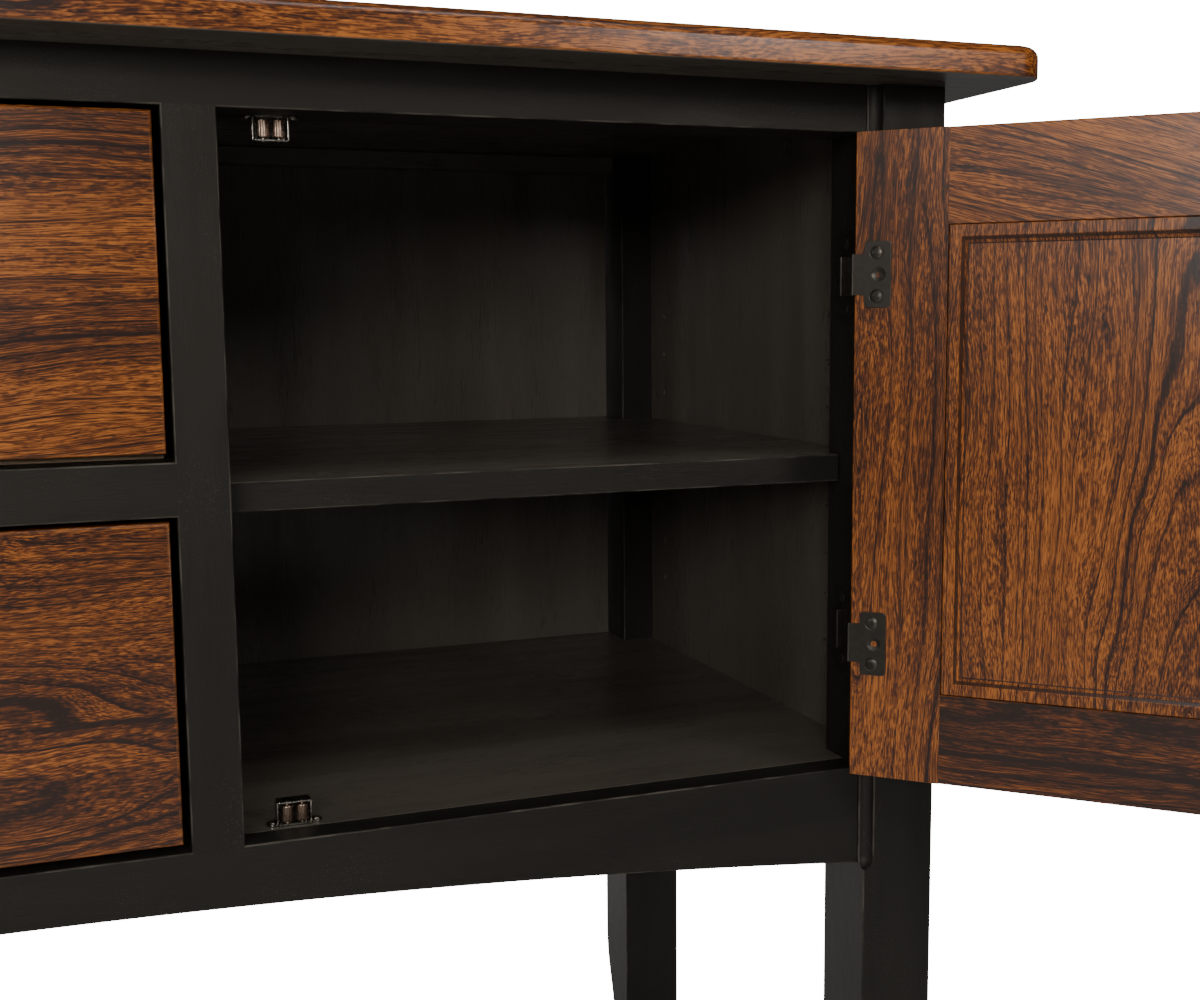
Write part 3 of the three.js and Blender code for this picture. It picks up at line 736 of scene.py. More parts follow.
def finish_of(name):
    """The material of a finish, made the first time it is asked for."""
    found = bpy.data.materials.get(FINISH_NAMES[name])
    if found:
        return found
    finishes = bpy.context.scene.sideboard_finishes
    makers = {
        "elm": elm,
        "maple": maple,
        "black paint": lambda: black_paint("black paint", finishes.paint, 0.25, 0.40, 0.0),
        "black inside painted light": lambda: black_paint(
            "black inside painted light", finishes.inside, 0.16, 0.24, 0.35),
        "bronze": lambda: metal("bronze black", finishes.bronze, 0.30, 0.44, 0.75, 1.0),
        "nickel": lambda: metal("nickel plate", finishes.nickel, 0.2, 0.38, 1.0, 1.0),
        "roller": lambda: metal("roller metal", finishes.roller, 0.25, 0.45, 1.0, 1.6),
    }
    return makers[name]()


FINISH_NAMES = {
    "elm": "stained elm", "maple": "drawer maple", "black paint": "black paint",
    "black inside painted light": "black inside painted light", "bronze": "bronze black", "nickel": "nickel plate",
    "roller": "roller metal",
}


# ---- The top ----
class SIDEBOARD_OT_top(bpy.types.Operator):
    """Makes the overhanging elm top, with its moulded edge and black underside"""

    bl_idname = "sideboard.top"
    bl_label = "Top"

    def execute(self, context):
        sizes = context.scene.sideboard_sizes
        low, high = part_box("tabletop")
        thick = high.z - low.z
        upper, under = sizes.top_roundover, sizes.top_underedge
        steps = 7
        profile = []
        for k in range(steps + 1):
            angle = pi / 2 * k / steps
            profile.append((under * (1 - sin(angle)), under * (1 - cos(angle))))
        for k in range(steps + 1):
            angle = pi / 2 * k / steps
            profile.append((upper * (1 - cos(angle)), thick - upper * (1 - sin(angle))))
        rings = []
        for inset, height in profile:
            radius = sizes.top_corner - inset
            outline = rounded([
                (low.x + inset, low.y + inset, radius), (high.x - inset, low.y + inset, radius),
                (high.x - inset, high.y - inset, radius), (low.x + inset, high.y - inset, radius),
            ], steps=12)
            rings.append([Vector((x, y, low.z + height)) for x, y in outline])
        top = grained(loft(rings), X, Y, heart=(0.02, 0.05), seed=3.1, tone=0.13)
        # the underside takes the lighter inside black, which is partly painted light
        piece("tabletop_moulded", top, "elm", CASE, "tabletop", sharp=40,
              second=("black inside painted light", (0, 0, -1)))
        return {"FINISHED"}


# ---- Legs ----
def swept(sizes, height):
    """How far the foot's face is swept in at a height: the curve that the frame's leg has."""
    if height >= sizes.foot_height:
        return 0.0
    if height <= sizes.foot_upright:
        return sizes.foot_sweep
    lowest, highest = 0.0, 1.0
    middle = (sizes.foot_height + sizes.foot_upright) / 2
    for _ in range(30):
        t = (lowest + highest) / 2
        at = (sizes.foot_height * (1 - t) ** 3 + 3 * middle * t * (1 - t)
              + sizes.foot_upright * t ** 3)
        lowest, highest = (t, highest) if at > height else (lowest, t)
    return sizes.foot_sweep * (3 * t * t - 2 * t ** 3)


def leg_section(low, high, height, sweep, cove, arris, outward):
    """One level of a leg. Outward is -1 on a front leg, whose inner corner has the cove."""
    front, back = (low.y + sweep, high.y) if outward < 0 else (low.y, high.y - sweep)
    turns = 10
    edge = 0.0005

    def corner(x, y, dx, dy, radius, hollow=False):
        points = []
        for k in range(turns + 1):
            angle = pi / 2 * k / turns
            if hollow:
                angle = min(max(angle, edge / radius), pi / 2 - edge / radius)
                points.append((x + dx * radius * sin(angle), y + dy * radius * cos(angle)))
            else:
                points.append((
                    x + dx * radius * (1 - cos(angle)), y + dy * radius * (1 - sin(angle))))
        if hollow:
            return [(x, y + dy * (radius + edge)), *points, (x + dx * (radius + edge), y)]
        return points

    outline = []
    outline += corner(low.x, front, 1, 1, arris)
    if cove:
        outline += corner(high.x, front, -1, 1, cove, hollow=True)[::-1]
    else:
        plain = corner(high.x, front, -1, 1, arris)[::-1]
        outline += [plain[0], *plain, plain[-1]]
    outline += corner(high.x, back, -1, -1, arris)
    outline += corner(low.x, back, 1, -1, arris)[::-1]
    return [Vector((x, y, height)) for x, y in outline]


class SIDEBOARD_OT_legs(bpy.types.Operator):
    """Makes the four legs, the front ones with a stopped cove"""

    bl_idname = "sideboard.legs"
    bl_label = "Legs"

    def execute(self, context):
        sizes = context.scene.sideboard_sizes
        nose = low_of("rail_front_bottom").z + 0.7 * sizes.cove
        for end, outward in (("front", -1), ("rear", 1)):
            low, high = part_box(f"leg_{end}_left")
            curve = [sizes.foot_upright + (sizes.foot_height - sizes.foot_upright) * k / 16
                     for k in range(17)]
            levels = [(0.0, 0.0), (0.002, 0.0)] + [(h, 0.0) for h in curve]
            if outward < 0:
                radii = [(sizes.cove * sin(pi / 2 * k / 8)) for k in range(9)]
                levels += [(nose - sqrt(sizes.cove ** 2 - min(r, sizes.cove) ** 2),
                            r if r > 1.2 * sizes.arris else 0.0) for r in radii]
            levels.append((high.z, sizes.cove if outward < 0 else 0.0))
            for side, mirror in SIDES.items():
                rings = []
                for height, cove in levels:
                    ring = leg_section(
                        low, high, height, swept(sizes, height), cove, sizes.arris, outward)
                    if height == 0.0:
                        middle = sum(ring, Vector()) / len(ring)
                        ring = [middle + (p - middle) * 0.93 for p in ring]
                    rings.append(ring)
                leg = grained(loft(rings), Z, X, heart=(0.04, 0.07), seed=5 + outward)
                piece(f"leg_{end}_{side}_shaped", leg, "black paint", CASE,
                      f"leg_{end}_{side}", turn=mirror, sharp=40)
        return {"FINISHED"}


# ---- Front frame ----
class SIDEBOARD_OT_front_frame(bpy.types.Operator):
    """Makes the rails and dividers of the front frame, the bottom rail with its arch"""

    bl_idname = "sideboard.front_frame"
    bl_label = "Front frame"

    def execute(self, context):
        sizes = context.scene.sideboard_sizes
        arris = sizes.arris
        low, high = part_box("rail_front_top")
        rail = ease(block(low, (*high.xy, TOP_UNDERSIDE)), arris, runs(X), lies(Z, low.z))
        piece("rail_front_top_eased", grained(rail, X, Z, seed=1), "black paint", CASE,
              "rail_front_top")
        low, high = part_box("rail_front_bottom")
        half = (high.x - low.x) / 2
        radius = (half ** 2 + sizes.arch_rise ** 2) / (2 * sizes.arch_rise)
        reach = asin(half / radius)
        arch = []
        for k in range(73):
            angle = -reach + 2 * reach * k / 72
            arch.append((CASE_MIDDLE + radius * sin(angle),
                         low.z + sizes.arch_rise - radius * (1 - cos(angle))))
        outline = [*arch, (high.x, high.z), (low.x, high.z)]
        rail = prism(outline, Y, low.y, high.y)
        ease(rail, arris, lambda e: abs((e.verts[1].co - e.verts[0].co).normalized().z) < 0.5,
             lambda e: not runs(Y)(e))
        piece("rail_front_bottom_arched", grained(rail, X, Z, seed=2), "black paint", CASE,
              "rail_front_bottom")
        for side, mirror in SIDES.items():
            low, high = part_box("divider_left")
            low.z, high.z = OPENING_BOTTOM - arris * 1.05, OPENING_TOP + arris * 1.05
            post = ease(block(low, high), arris, runs(Z))
            post = grained(post, Z, X, heart=(0.02, 0.035), seed=7)
            piece(f"divider_{side}_eased", post, "black paint", CASE,
                  f"divider_{side}", turn=mirror)
        low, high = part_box("rail_drawer")
        low.x -= arris * 1.3
        high.x += arris * 1.3
        rail = ease(block(low, high), arris, runs(X))
        piece("rail_drawer_eased", grained(rail, X, Z, seed=4), "black paint", CASE,
              "rail_drawer")
        return {"FINISHED"}


# ---- Case boards ----
def pin_heights(sizes):
    return [sizes.first_pin + sizes.pin_pitch * k for k in range(8)]


def pin_rows(sizes):
    return [FRAME_FACE + sizes.pin_row_front, FRAME_FACE + sizes.pin_row_rear]


def pin_holes(sizes, x, depth):
    """Cutters for the rows of shelf pin holes, from a face at x into the board."""
    start, end = sorted((x - depth / 10, x + depth))
    return [
        rod(sizes.pin_hole / 2, (0, y, z), X, start, end, sides=16)
        for y in pin_rows(sizes) for z in pin_heights(sizes)]


class SIDEBOARD_OT_case(bpy.types.Operator):
    """Makes the sides, partitions, back, rear rails, floor and dust panel"""

    bl_idname = "sideboard.case"
    bl_label = "Case boards"

    def execute(self, context):
        sizes = context.scene.sideboard_sizes
        soft = sizes.board_arris
        hole_depth = 0.010
        for side, mirror in SIDES.items():
            low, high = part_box("side_panel_left")
            panel = ease(block(low, (*high.xy, TOP_UNDERSIDE)), soft, runs(Y))
            panel = bored(panel, *pin_holes(sizes, high.x, -hole_depth))
            panel = grained(panel, Z, Y, heart=(0.03, 0.05), seed=11)
            piece(f"side_panel_{side}_bored", panel, "black inside painted light", CASE,
                  f"side_panel_{side}", turn=mirror)
            low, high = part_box("partition_left")
            front_rail, rear_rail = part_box("rail_front_top"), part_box("rail_rear_top")
            outline = [
                (low.y, low.z), (high.y, low.z), (high.y, rear_rail[0].z),
                (rear_rail[0].y, rear_rail[0].z), (rear_rail[0].y, TOP_UNDERSIDE),
                (front_rail[1].y, TOP_UNDERSIDE), (front_rail[1].y, front_rail[0].z),
                (low.y, front_rail[0].z)]
            wall = prism(outline, X, low.x, high.x)
            wall = bored(wall, *pin_holes(sizes, low.x, hole_depth))
            wall = grained(wall, Z, Y, heart=(0.05, 0.05), seed=13)
            piece(f"partition_{side}_bored", wall, "black inside painted light", CASE,
                  f"partition_{side}", turn=mirror)
        low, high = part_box("back_panel")
        back = ease(block(low, (*high.xy, TOP_UNDERSIDE)), soft, lies(Y, high.y))
        piece("back_panel_fitted", grained(back, Z, X, heart=(0.1, 0.06), seed=17),
              "black inside painted light", CASE, "back_panel")
        for name, seed in (("rail_rear_top", 19), ("rail_rear_bottom", 23)):
            low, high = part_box(name)
            rail = ease(block(low, high), soft, runs(X))
            piece(f"{name}_eased", grained(rail, X, Z, seed=seed), "black inside painted light", CASE, name)
        self.floor(sizes)
        low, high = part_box("dust_panel")
        low.x -= TOUCH
        high.x += TOUCH
        dust = ease(block(low, high), soft, runs(X), lies(Y, low.y))
        piece("dust_panel_fitted", grained(dust, X, Y, heart=(0.08, 0.06), seed=29),
              "black inside painted light", CASE, "dust_panel")
        self.back_screws()
        return {"FINISHED"}

    def floor(self, sizes):
        """The case floor, notched round the legs and closed up to the boards beside it."""
        low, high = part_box("case_floor")
        front_leg, rear_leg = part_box("leg_front_left"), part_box("leg_rear_left")
        outline = notched(low.x, CASE_MIDDLE, low.y, high.y, front_leg, rear_leg, 0.0)
        outline += [(2 * CASE_MIDDLE - x, y) for x, y in outline[::-1]]
        board = prism(outline, Z, low.z, high.z - 0.00005)
        piece("case_floor_notched", grained(board, X, Y, heart=(0.06, 0.05), seed=31),
              "black inside painted light", CASE, "case_floor")

    def back_screws(self):
        """Pan head screws that hold the back on."""
        low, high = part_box("back_panel")
        heads = []
        across, up = 9, 4
        inset = 0.012
        for i in range(across):
            for j in range(up):
                if 0 < i < across - 1 and 0 < j < up - 1:
                    continue
                x = low.x + inset + (high.x - low.x - 2 * inset) * i / (across - 1)
                z = low.z + inset + (high.z - low.z - 2 * inset) * j / (up - 1)
                spot = Matrix.Translation((x, high.y, z)) @ Matrix.Rotation(-pi / 2, 4, "X")
                heads.append(copied(screw_head(0.0034, 0.0019), spot))
        piece("back_panel_screws", joined(*heads), "bronze", CASE)


def notched(near, far, front, back, front_leg, rear_leg, gap):
    """A board's outline from its outer edge to far, notched round the left legs."""
    inner = front_leg[1].x + gap
    return [
        (far, back), (inner, back), (inner, rear_leg[0].y - gap), (near, rear_leg[0].y - gap),
        (near, front_leg[1].y + gap), (inner, front_leg[1].y + gap), (inner, front), (far, front)]


# ---- Shelves ----
class SIDEBOARD_OT_shelves(bpy.types.Operator):
    """Makes the two notched shelves and the pins they rest on"""

    bl_idname = "sideboard.shelves"
    bl_label = "Shelves"

    def execute(self, context):
        sizes = context.scene.sideboard_sizes
        gap = 0.0015
        low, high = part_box("shelf_left")
        front_leg, rear_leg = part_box("leg_front_left"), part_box("leg_rear_left")
        for side, mirror in SIDES.items():
            outline = notched(low.x, high.x, low.y, high.y, front_leg, rear_leg, gap)
            shelf = ease(prism(outline, Z, low.z, high.z), sizes.arris, lambda e: not runs(Z)(e))
            shelf = grained(shelf, X, Y, heart=(0.07, 0.06), seed=37)
            piece(f"shelf_{side}_eased", shelf, "black inside painted light", CASE, f"shelf_{side}",
                  turn=mirror, second=("black paint", (0, -1, 0)))
            pins = []
            for x, inward in ((high_of("side_panel_left").x, 1), (low_of("partition_left").x, -1)):
                for y in pin_rows(sizes):
                    pins.append(self.pin(x, y, inward, low.z, sizes))
            piece(f"shelf_{side}_pins", joined(*pins), "nickel", CASE, turn=mirror)
        return {"FINISHED"}

    def pin(self, x, y, inward, underside, sizes):
        """A bent pin: a pad under the shelf, a flange up its end and a peg in the hole."""
        sheet, wide, reach, rise = 0.0011, 0.011, 0.014, 0.0145
        outline = [
            (0, -sheet), (reach, -sheet), (reach, 0), (sheet, 0), (sheet, rise), (0, rise)]
        outline = [(x + inward * u, underside + v) for u, v in outline]
        bracket = ease(prism(outline, Y, y - wide / 2, y + wide / 2), 0.0003, segments=2)
        height = min(pin_heights(sizes), key=lambda h: abs(h - underside - 0.008))
        peg = rod(sizes.pin_hole / 2 - 0.0002, (0, y, height), X,
                  *sorted((x - inward * 0.008, x + inward * 0.0005)), sides=16)
        return joined(bracket, peg)


# ---- Screws ----
def screw_head(radius, height):
    """A domed screw head standing on z = 0, with a cross recess."""
    head = lathe([
        (0, -height * 0.5), (radius * 0.7, -height * 0.5), (radius, 0),
        (radius * 0.98, height * 0.25), (radius * 0.8, height * 0.62),
        (radius * 0.5, height * 0.9), (0, height)], sides=28)
    arm, wide, deep = radius * 0.52, radius * 0.11, height * 0.75
    cross = []
    for turn in (0, pi / 2):
        slot = block((-arm, -wide, height - deep), (arm, wide, height + deep))
        cross.append(moved(slot, Matrix.Rotation(turn, 4, "Z")))
    return bored(head, *cross)


# ---- Doors ----
class SIDEBOARD_OT_doors(bpy.types.Operator):
    """Makes both doors: stiles, rails, panel and knob, the right one standing open"""

    bl_idname = "sideboard.doors"
    bl_label = "Doors"

    def execute(self, context):
        sizes = context.scene.sideboard_sizes
        for side, turn in DOOR_TURN.items():
            self.door(side, turn, sizes, 0 if side == "left" else 40)
        return {"FINISHED"}

    def door(self, side, turn, sizes, seed):
        body = f"door_{side}"
        part = "door_left_"
        panel_low, panel_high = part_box(part + "panel")
        front = low_of(part + "stile_hinge").y
        inner = {
            X: (high_of(part + "stile_hinge").x, low_of(part + "stile_latch").x),
            Z: (high_of(part + "rail_bottom").z, low_of(part + "rail_top").z)}
        # heart, lean, tilt and tone of each member; the top rail's lighter tone is a painted sheen
        # and the bottom rail's darker tone is painted shade
        woods = {
            "stile_hinge": ((0.012, 0.03), -0.03, 0.10, 0.01),
            "stile_latch": ((0.05, 0.03), 0.0, 0.0, 0.0),
            "rail_top": ((0.11, 0.012), 0.28, 0.0, 0.10),
            "rail_bottom": ((0.05, 0.055), 0.06, 0.0, -0.17)}
        for number, (name, wood) in enumerate(woods.items()):
            heart, lean, tilt, tone = wood
            low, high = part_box(part + name)
            upright_member = name.startswith("stile")
            along, across = (Z, X) if upright_member else (X, Z)
            if not upright_member:
                low.x, high.x = inner[X]
            board = block(low, high)
            edge = min(inner[across],
                       key=lambda at: min(abs(at - low[across]), abs(at - high[across])))
            if name == "rail_bottom":
                edge = high.z
            if name == "rail_top":
                edge = low.z
            outer = low[across] if abs(edge - high[across]) < 1e-4 else high[across]
            mould = sizes.sticking
            ease(board, sizes.door_arris, runs(along), lies(across, outer))
            if upright_member:
                ease(board, sizes.door_arris, runs(X), lambda e: not runs(Z)(e))
            ease(board, mould * 0.55, runs(along), lies(across, edge), lies(Y, front), segments=4)
            ease(board, 0.0003, runs(along), lies(across, edge), lies(Y, high.y), segments=1)
            grained(board, along, across, heart, lean, tilt, seed + number, tone)
            piece(f"door_{side}_{name}_moulded", board, "elm", body, f"door_{side}_{name}",
                  turn=turn)
        self.panel(side, turn, sizes, inner, panel_low, panel_high, front, seed)
        self.knob(side, turn)
        self.strikes(side, turn, sizes)

    def panel(self, side, turn, sizes, inner, low, high, front, seed):
        """A solid panel: raised on its front, and let in behind a level border at its back."""
        gap = 0.0004
        deep = DOOR_BACK - gap * 0.5
        strip, slope, rise = sizes.panel_strip, sizes.panel_slope, sizes.panel_raise
        groove = sizes.sticking * 0.55
        # (distance in from the frame's edge, place from front to back)
        profile = [
            (groove + rise + 0.0012, front + 0.0021), (groove + rise, front + 0.0024),
            (groove + rise - 0.0002, front + 0.0038), (groove + rise * 0.5, front + 0.0052),
            (groove * 0.2, front + 0.0068), (gap, front + 0.0070),
            (gap, deep - 0.0004), (gap + 0.0004, deep),
            (strip - 0.0005, deep), (strip, deep - 0.0003),
            (strip + slope * 0.45, deep - 0.0018), (strip + slope - 0.0008, high.y + 0.0003),
            (strip + slope, high.y)]
        rings = []
        for inset, y in profile:
            x0, x1 = inner[X][0] + inset, inner[X][1] - inset
            z0, z1 = inner[Z][0] + inset, inner[Z][1] - inset
            rings.append([Vector((x0, y, z0)), Vector((x1, y, z0)),
                          Vector((x1, y, z1)), Vector((x0, y, z1))])
        panel = grained(loft(rings), Z, X, heart=(0.035, 0.05), lean=0.02, tilt=0.15,
                        seed=seed + 9, tone=0.09)
        # painted shade: the faces of the slope down to the recessed field are marked to be darkened
        recess_shade = panel.faces.layers.float.new("arris")
        for face in panel.faces:
            heights = [vert.co.y for vert in face.verts]
            if max(heights) < deep and max(heights) - min(heights) > 0.0008 \
                    and min(heights) > (front + deep) / 2:
                face[recess_shade] = RECESS_SHADE
        piece(f"door_{side}_panel_raised", panel, "elm", f"door_{side}", f"door_{side}_panel",
              turn=turn, sharp=20)

    def knob(self, side, turn):
        low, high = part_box("door_left_knob")
        piece(f"door_{side}_knob_turned", knob_shape(low, high), "bronze", f"door_{side}",
              f"door_{side}_knob", turn=turn, sharp=50)

    def strikes(self, side, turn, sizes):
        """Spear strikes on the door's back that the catches' rollers close on."""
        plates = []
        for place_of, up in (("top", -1), ("bottom", 1)):
            low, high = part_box(f"catch_left_{place_of}")
            x = (low.x + high.x) / 2
            z = (low.z + high.z) / 2 + up * 0.0005
            back = DOOR_BACK
            half_wide, half_tall = 0.0135, 0.0048
            outline = rounded([
                (x - half_wide, z - half_tall, 0.0045), (x + half_wide, z - half_tall, 0.0045),
                (x + half_wide, z + half_tall, 0.0045), (x - half_wide, z + half_tall, 0.0045)])
            plate = ease(prism(outline, Y, back - 0.0002, back + 0.001), 0.0002, segments=2)
            tip = [
                (x - 0.0005, back + 0.0008), (x + 0.0005, back + 0.0008),
                (x + 0.0005, back + 0.0085), (x + 0.0016, back + 0.0105),
                (x + 0.0006, back + 0.0122), (x - 0.0006, back + 0.0122),
                (x - 0.0016, back + 0.0105), (x - 0.0005, back + 0.0085)]
            spear = ease(prism(tip, Z, z - 0.0032, z + 0.0032), 0.0002, segments=2)
            heads = [
                copied(screw_head(0.0022, 0.0009), Matrix.Translation((x + dx, back + 0.001, z))
                       @ Matrix.Rotation(-pi / 2, 4, "X"))
                for dx in (-0.009, 0.009)]
            plates.append(joined(plate, spear, *heads))
        piece(f"door_{side}_strikes", joined(*plates), "nickel", f"door_{side}", turn=turn)


def knob_shape(low, high):
    """A turned knob pointing to the front, filling its box."""
    radius = (high.x - low.x) / 2
    tall = high.y - low.y
    profile = [
        (0, 0), (radius * 0.60, 0), (radius * 0.62, tall * 0.03), (radius * 0.60, tall * 0.075),
        (radius * 0.50, tall * 0.10), (radius * 0.40, tall * 0.16), (radius * 0.36, tall * 0.27),
        (radius * 0.40, tall * 0.38), (radius * 0.58, tall * 0.48), (radius * 0.84, tall * 0.54),
        (radius * 0.975, tall * 0.60), (radius * 0.999, tall * 0.67), (radius * 0.96, tall * 0.75),
        (radius * 0.86, tall * 0.83), (radius * 0.84, tall * 0.845), (radius * 0.80, tall * 0.86),
        (radius * 0.62, tall * 0.93), (radius * 0.36, tall * 0.98), (radius * 0.12, tall * 0.998),
        (0, tall)]
    middle = (low + high) / 2
    turn = Matrix.Translation((middle.x, high.y, middle.z)) @ Matrix.Rotation(pi / 2, 4, "X")
    return moved(lathe(profile, sides=48), turn)


# ---- Hinges ----
class SIDEBOARD_OT_hinges(bpy.types.Operator):
    """Makes the four wrap hinges, with their screws and barrels"""

    bl_idname = "sideboard.hinges"
    bl_label = "Hinges"

    def execute(self, context):
        sizes = context.scene.sideboard_sizes
        for level in ("top", "bottom"):
            for side in SIDES:
                piece(f"hinge_{side}_{level}_door_side", self.door_leaf(level, sizes), "bronze",
                      f"door_{side}", f"hinge_{side}_{level}_door_leaf", turn=DOOR_TURN[side])
                piece(f"hinge_{side}_{level}_frame_side", self.frame_leaf(level, sizes), "bronze",
                      CASE, f"hinge_{side}_{level}_frame_leaf", turn=SIDES[side])
        return {"FINISHED"}

    def knuckle(self, sizes, z0, z1):
        r = sizes.barrel
        soft = 0.0003
        tube = lathe([(0, 0), (r - soft, 0), (r, soft), (r, z1 - z0 - soft),
                      (r - soft, z1 - z0), (0, z1 - z0)], sides=24)
        return moved(tube, Matrix.Translation((PIN_LEFT.x, PIN_LEFT.y, z0)))

    def door_leaf(self, level, sizes):
        """The leaf that wraps the door's edge and lies on its back."""
        low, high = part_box(f"hinge_left_{level}_door_leaf")
        middle = (low.z + high.z) / 2
        edge = PIN_LEFT.x
        leaf = sizes.leaf
        neck, tall = 0.012, (high.z - low.z) / 2
        start, end = edge + 0.0062, high.x
        outline = rounded([
            (edge - 0.0008, middle - neck, 0), (start, middle - neck, 0.0014),
            (start, middle - tall, 0.0024), (end, middle - tall, 0.0026),
            (end, middle + tall, 0.0026), (start, middle + tall, 0.0024),
            (start, middle + neck, 0.0014), (edge - 0.0008, middle + neck, 0)])
        back = DOOR_BACK + 0.00005
        plate = ease(prism(outline, Y, back, back + leaf), leaf * 0.28, segments=2)
        pitch = 0.0127
        holes = [(edge + 0.0133, -pitch), (edge + 0.0147, 0.0), (edge + 0.0133, pitch)]
        cutters = []
        for x, dz in holes:
            sink = lathe([(0.0018, -0.001), (0.0018, 0.0002), (0.0041, leaf * 0.8),
                          (0.0047, leaf + 0.0004)], sides=28)
            cutters.append(moved(sink, Matrix.Translation((x, back, middle + dz))
                                 @ Matrix.Rotation(-pi / 2, 4, "X")))
        plate = bored(plate, *cutters)
        heads = []
        for x, dz in (holes[0], holes[2]):
            spot = Matrix.Translation((x, back + leaf * 0.55, middle + dz)) \
                @ Matrix.Rotation(-pi / 2, 4, "X") @ Matrix.Rotation(pi / 5, 4, "Z")
            heads.append(copied(screw_head(sizes.screw, 0.0011), spot))
        wrap_x0, wrap_x1 = low.x + 0.0004, edge - TOUCH
        wrap = ease(block((wrap_x0, PIN_LEFT.y + sizes.barrel * 0.6, middle - neck),
                          (wrap_x1, back + leaf, middle + neck)), 0.0003, runs(Z), segments=2)
        third = 0.0044
        bottom, top = middle - neck, middle + neck
        gap = block((low.x - 0.001, PIN_LEFT.y - 0.004, middle - third),
                    (edge + 0.001, FRAME_FACE, middle + third))
        wrap = bored(wrap, gap)
        barrels = [self.knuckle(sizes, bottom, middle - third),
                   self.knuckle(sizes, middle + third, top)]
        pin = lathe([(0, 0), (0.0007, 0.0), (0.0012, 0.0005), (0.0012, 2 * neck + 0.0007),
                     (0.0007, 2 * neck + 0.0012), (0, 2 * neck + 0.0012)], sides=20)
        moved(pin, Matrix.Translation((PIN_LEFT.x, PIN_LEFT.y, bottom - 0.0006)))
        return joined(plate, wrap, pin, *heads, *barrels)

    def frame_leaf(self, level, sizes):
        """The leaf on the leg's inner face, with the spring box raised from it."""
        low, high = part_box(f"hinge_left_{level}_frame_leaf")
        middle = (low.z + high.z) / 2
        tall = (high.z - low.z) / 2
        face = low.x - TOUCH
        leaf = sizes.leaf * 0.85
        start, end = FRAME_FACE + 0.009, high.y
        neck = 0.0125
        outline = rounded([
            (start, middle - tall, 0.0075), (end, middle - tall, 0.0075),
            (end, middle - neck - 0.004, 0.003), (end - 0.0035, middle - neck, 0.002),
            (end - 0.0035, middle + neck, 0.002), (end, middle + neck + 0.004, 0.003),
            (end, middle + tall, 0.0075), (start, middle + tall, 0.0075)])
        plate = ease(prism(outline, X, face, face + leaf), leaf * 0.28, segments=2)
        third = 0.0040
        tongue = block((face, PIN_LEFT.y, middle - third),
                       (face + leaf, start + 0.002, middle + third))
        ease(tongue, 0.0002, runs(Y), segments=2)
        box_low = (face + leaf * 0.5, FRAME_FACE + 0.0198, middle - neck)
        box_high = (face + 0.0052, FRAME_FACE + 0.0273, middle + neck)
        spring = ease(block(box_low, box_high), 0.0009, segments=3)
        tab = ease(block((face + leaf * 0.5, FRAME_FACE + 0.0095, middle - neck * 0.94),
                         (face + leaf + 0.0003, FRAME_FACE + 0.0205, middle + neck * 0.94)),
                   0.0003, segments=2)
        heads = []
        for dz in (-0.020, 0.020):
            spot = Matrix.Translation((face + leaf, FRAME_FACE + 0.021, middle + dz)) \
                @ Matrix.Rotation(pi / 2, 4, "Y")
            heads.append(copied(screw_head(0.0031, 0.0009), spot))
        barrel = self.knuckle(sizes, middle - third, middle + third)
        return joined(plate, tongue, spring, tab, barrel, *heads)


